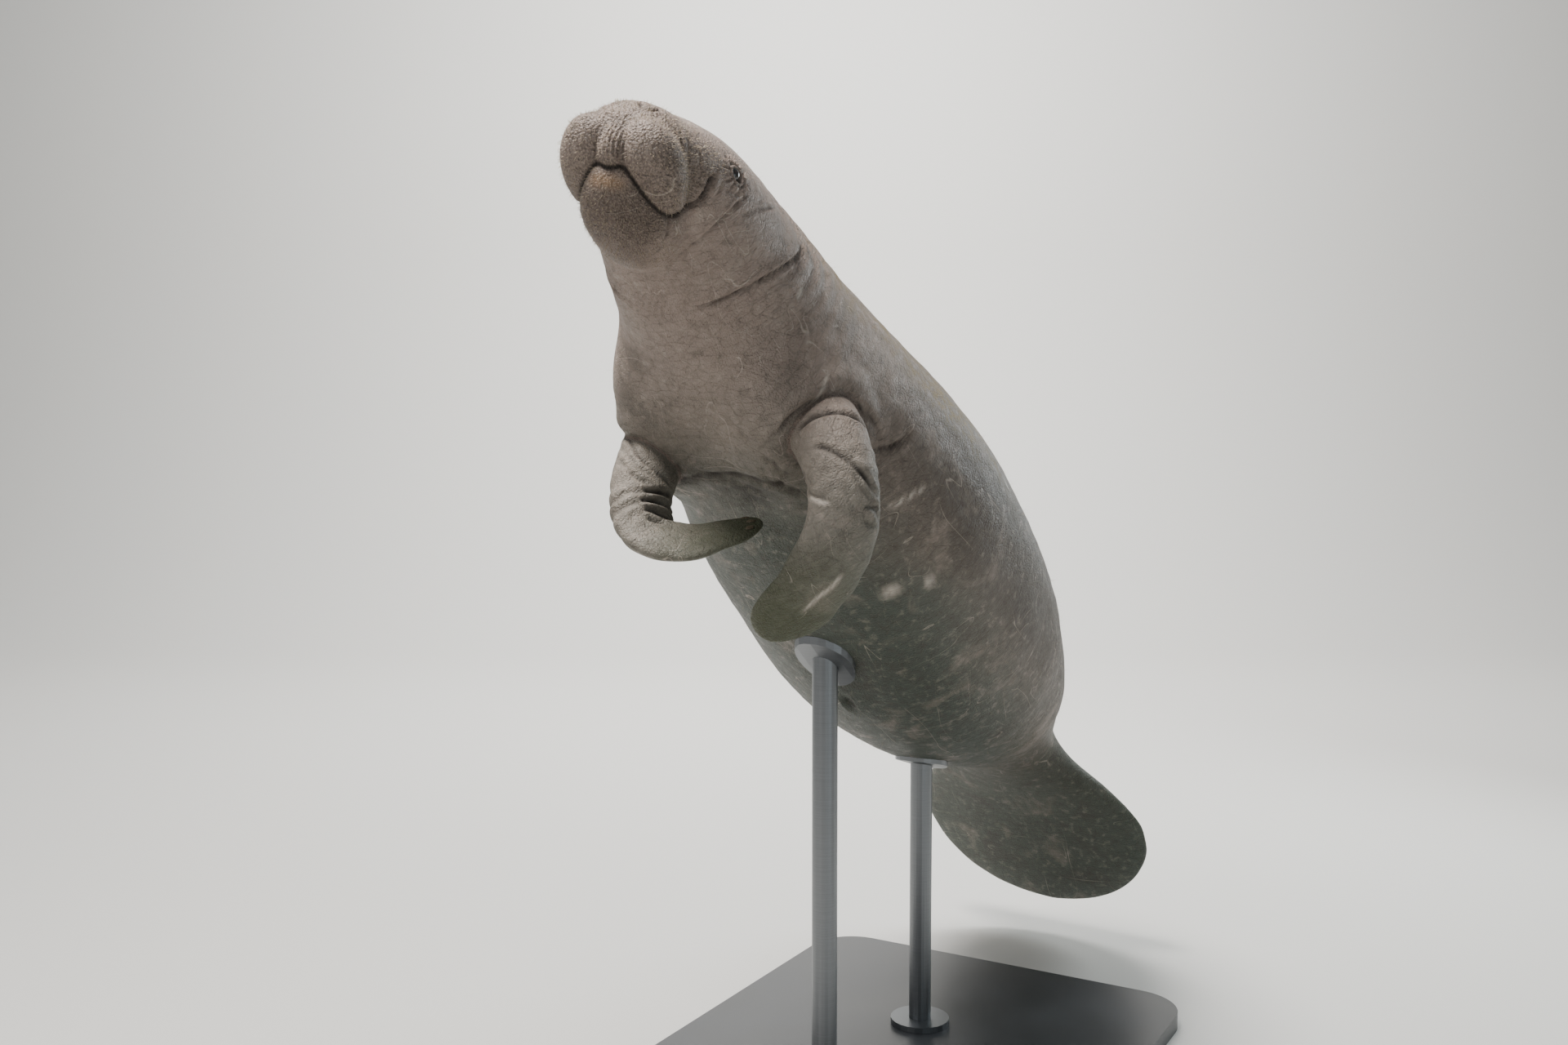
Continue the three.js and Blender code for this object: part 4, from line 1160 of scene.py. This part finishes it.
def stage():
    """Pale floor that rises into a backdrop, soft lights, and the camera."""
    size, rise, corner, away = 14.0, 7.0, 3.0, 6.0
    heading = math.radians(CAMERA["heading"])
    ahead = np.array([math.sin(heading), math.cos(heading), 0])
    aside = np.array([ahead[1], -ahead[0], 0])
    arc = np.linspace(0, math.pi / 2, 24)
    run = np.concatenate([[-size], away + corner * np.sin(arc), [away + corner]])
    up = np.concatenate([[0], corner * (1 - np.cos(arc)), [rise]])
    across = np.linspace(-size, size, 3)
    r, c = np.meshgrid(np.arange(len(run)), across, indexing="ij")
    verts = run[r][..., None] * ahead + c[..., None] * aside + up[r][..., None] * [0, 0, 1]
    a = np.arange(verts.shape[0] * 3).reshape(-1, 3)
    quads = np.stack([a[:-1, :-1], a[:-1, 1:], a[1:, 1:], a[1:, :-1]], -1).reshape(-1, 4)
    floor = new_mesh("studio_floor", verts.reshape(-1, 3), quads)
    floor.data.materials.append(floor_finish())

    world = bpy.data.worlds.new("studio")
    bpy.context.scene.world = world
    world.use_nodes = True
    sky = world.node_tree.nodes["Background"].inputs
    sky[0].default_value, sky[1].default_value = (0.80, 0.86, 0.90, 1), 0.26

    # Lights: how far to the right, ahead and up, how wide, how strong and what colour
    middle = bend([CAMERA["at"] * LENGTH, 0, 0])
    lights = [("key", (-1.1, -0.8, 3.2), 1.2, 330, (1.0, 0.97, 0.94)),
              ("front", (-3.0, -2.0, 1.4), 2.0, 40, (1.0, 0.98, 0.96)),
              ("fill", (2.6, -3.4, -0.4), 2.4, 14, (0.84, 0.95, 1.0)),
              ("rim", (3.0, 2.4, 0.8), 1.6, 60, (0.90, 0.98, 1.0))]
    for name, (right, far, high), wide, power, colour in lights:
        spot = middle + aside * right + ahead * far + [0, 0, high]
        lamp(name, spot, middle + [0, 0.3, -0.3] - spot, wide, power, colour)
    lamp("backdrop wash", ahead * 3.6 + [0, 0, 6.0], ahead * 4.6 - [0, 0, 3.6], 4.0, 900)

    camera = bpy.data.objects.new("camera", bpy.data.cameras.new("camera"))
    camera.data.lens, camera.data.sensor_width, camera.data.sensor_fit = CAMERA["lens"], 36, "HORIZONTAL"
    camera.data.clip_end = 60
    camera.location = middle - ahead * CAMERA["away"] + aside * CAMERA["aside"] + [0, 0, CAMERA["above"]]
    camera.rotation_euler = (math.radians(90 + CAMERA["tilt"]), 0, -heading)
    bpy.context.scene.collection.objects.link(camera)
    bpy.context.scene.camera = camera


def vector_to_turn(aim):
    """Euler angles that point an object's -Z along a direction."""
    flat = math.hypot(aim[0], aim[1])
    return (math.atan2(flat, -aim[2]), 0, math.atan2(-aim[0], aim[1]))


FLESH = ["head", "lower_jaw", "neck", "chest", "belly", "tail_stock", "tail_paddle",
         "flipper_left", "flipper_right"]

stage()
skin = make_skin()
finish_piece(skin, skin_finish(), "skin", *FLESH)
bristle, nail = bristle_finish(), nail_finish()
for made in hair(skin):
    finish_piece(made, bristle, "skin")
for side in ("left", "right"):
    finish_piece(eyeball(side), eye_finish(), "eye", "eye_" + side)
    for made in nails(side):
        finish_piece(made, nail, "skin")
rods = rod_finish()
stand = {"stand_base": board_finish(), "stand_rod_front": rods, "stand_rod_rear": rods}
for node, material in stand.items():
    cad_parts[node].data.materials.clear()
    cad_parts[node].data.materials.append(material)
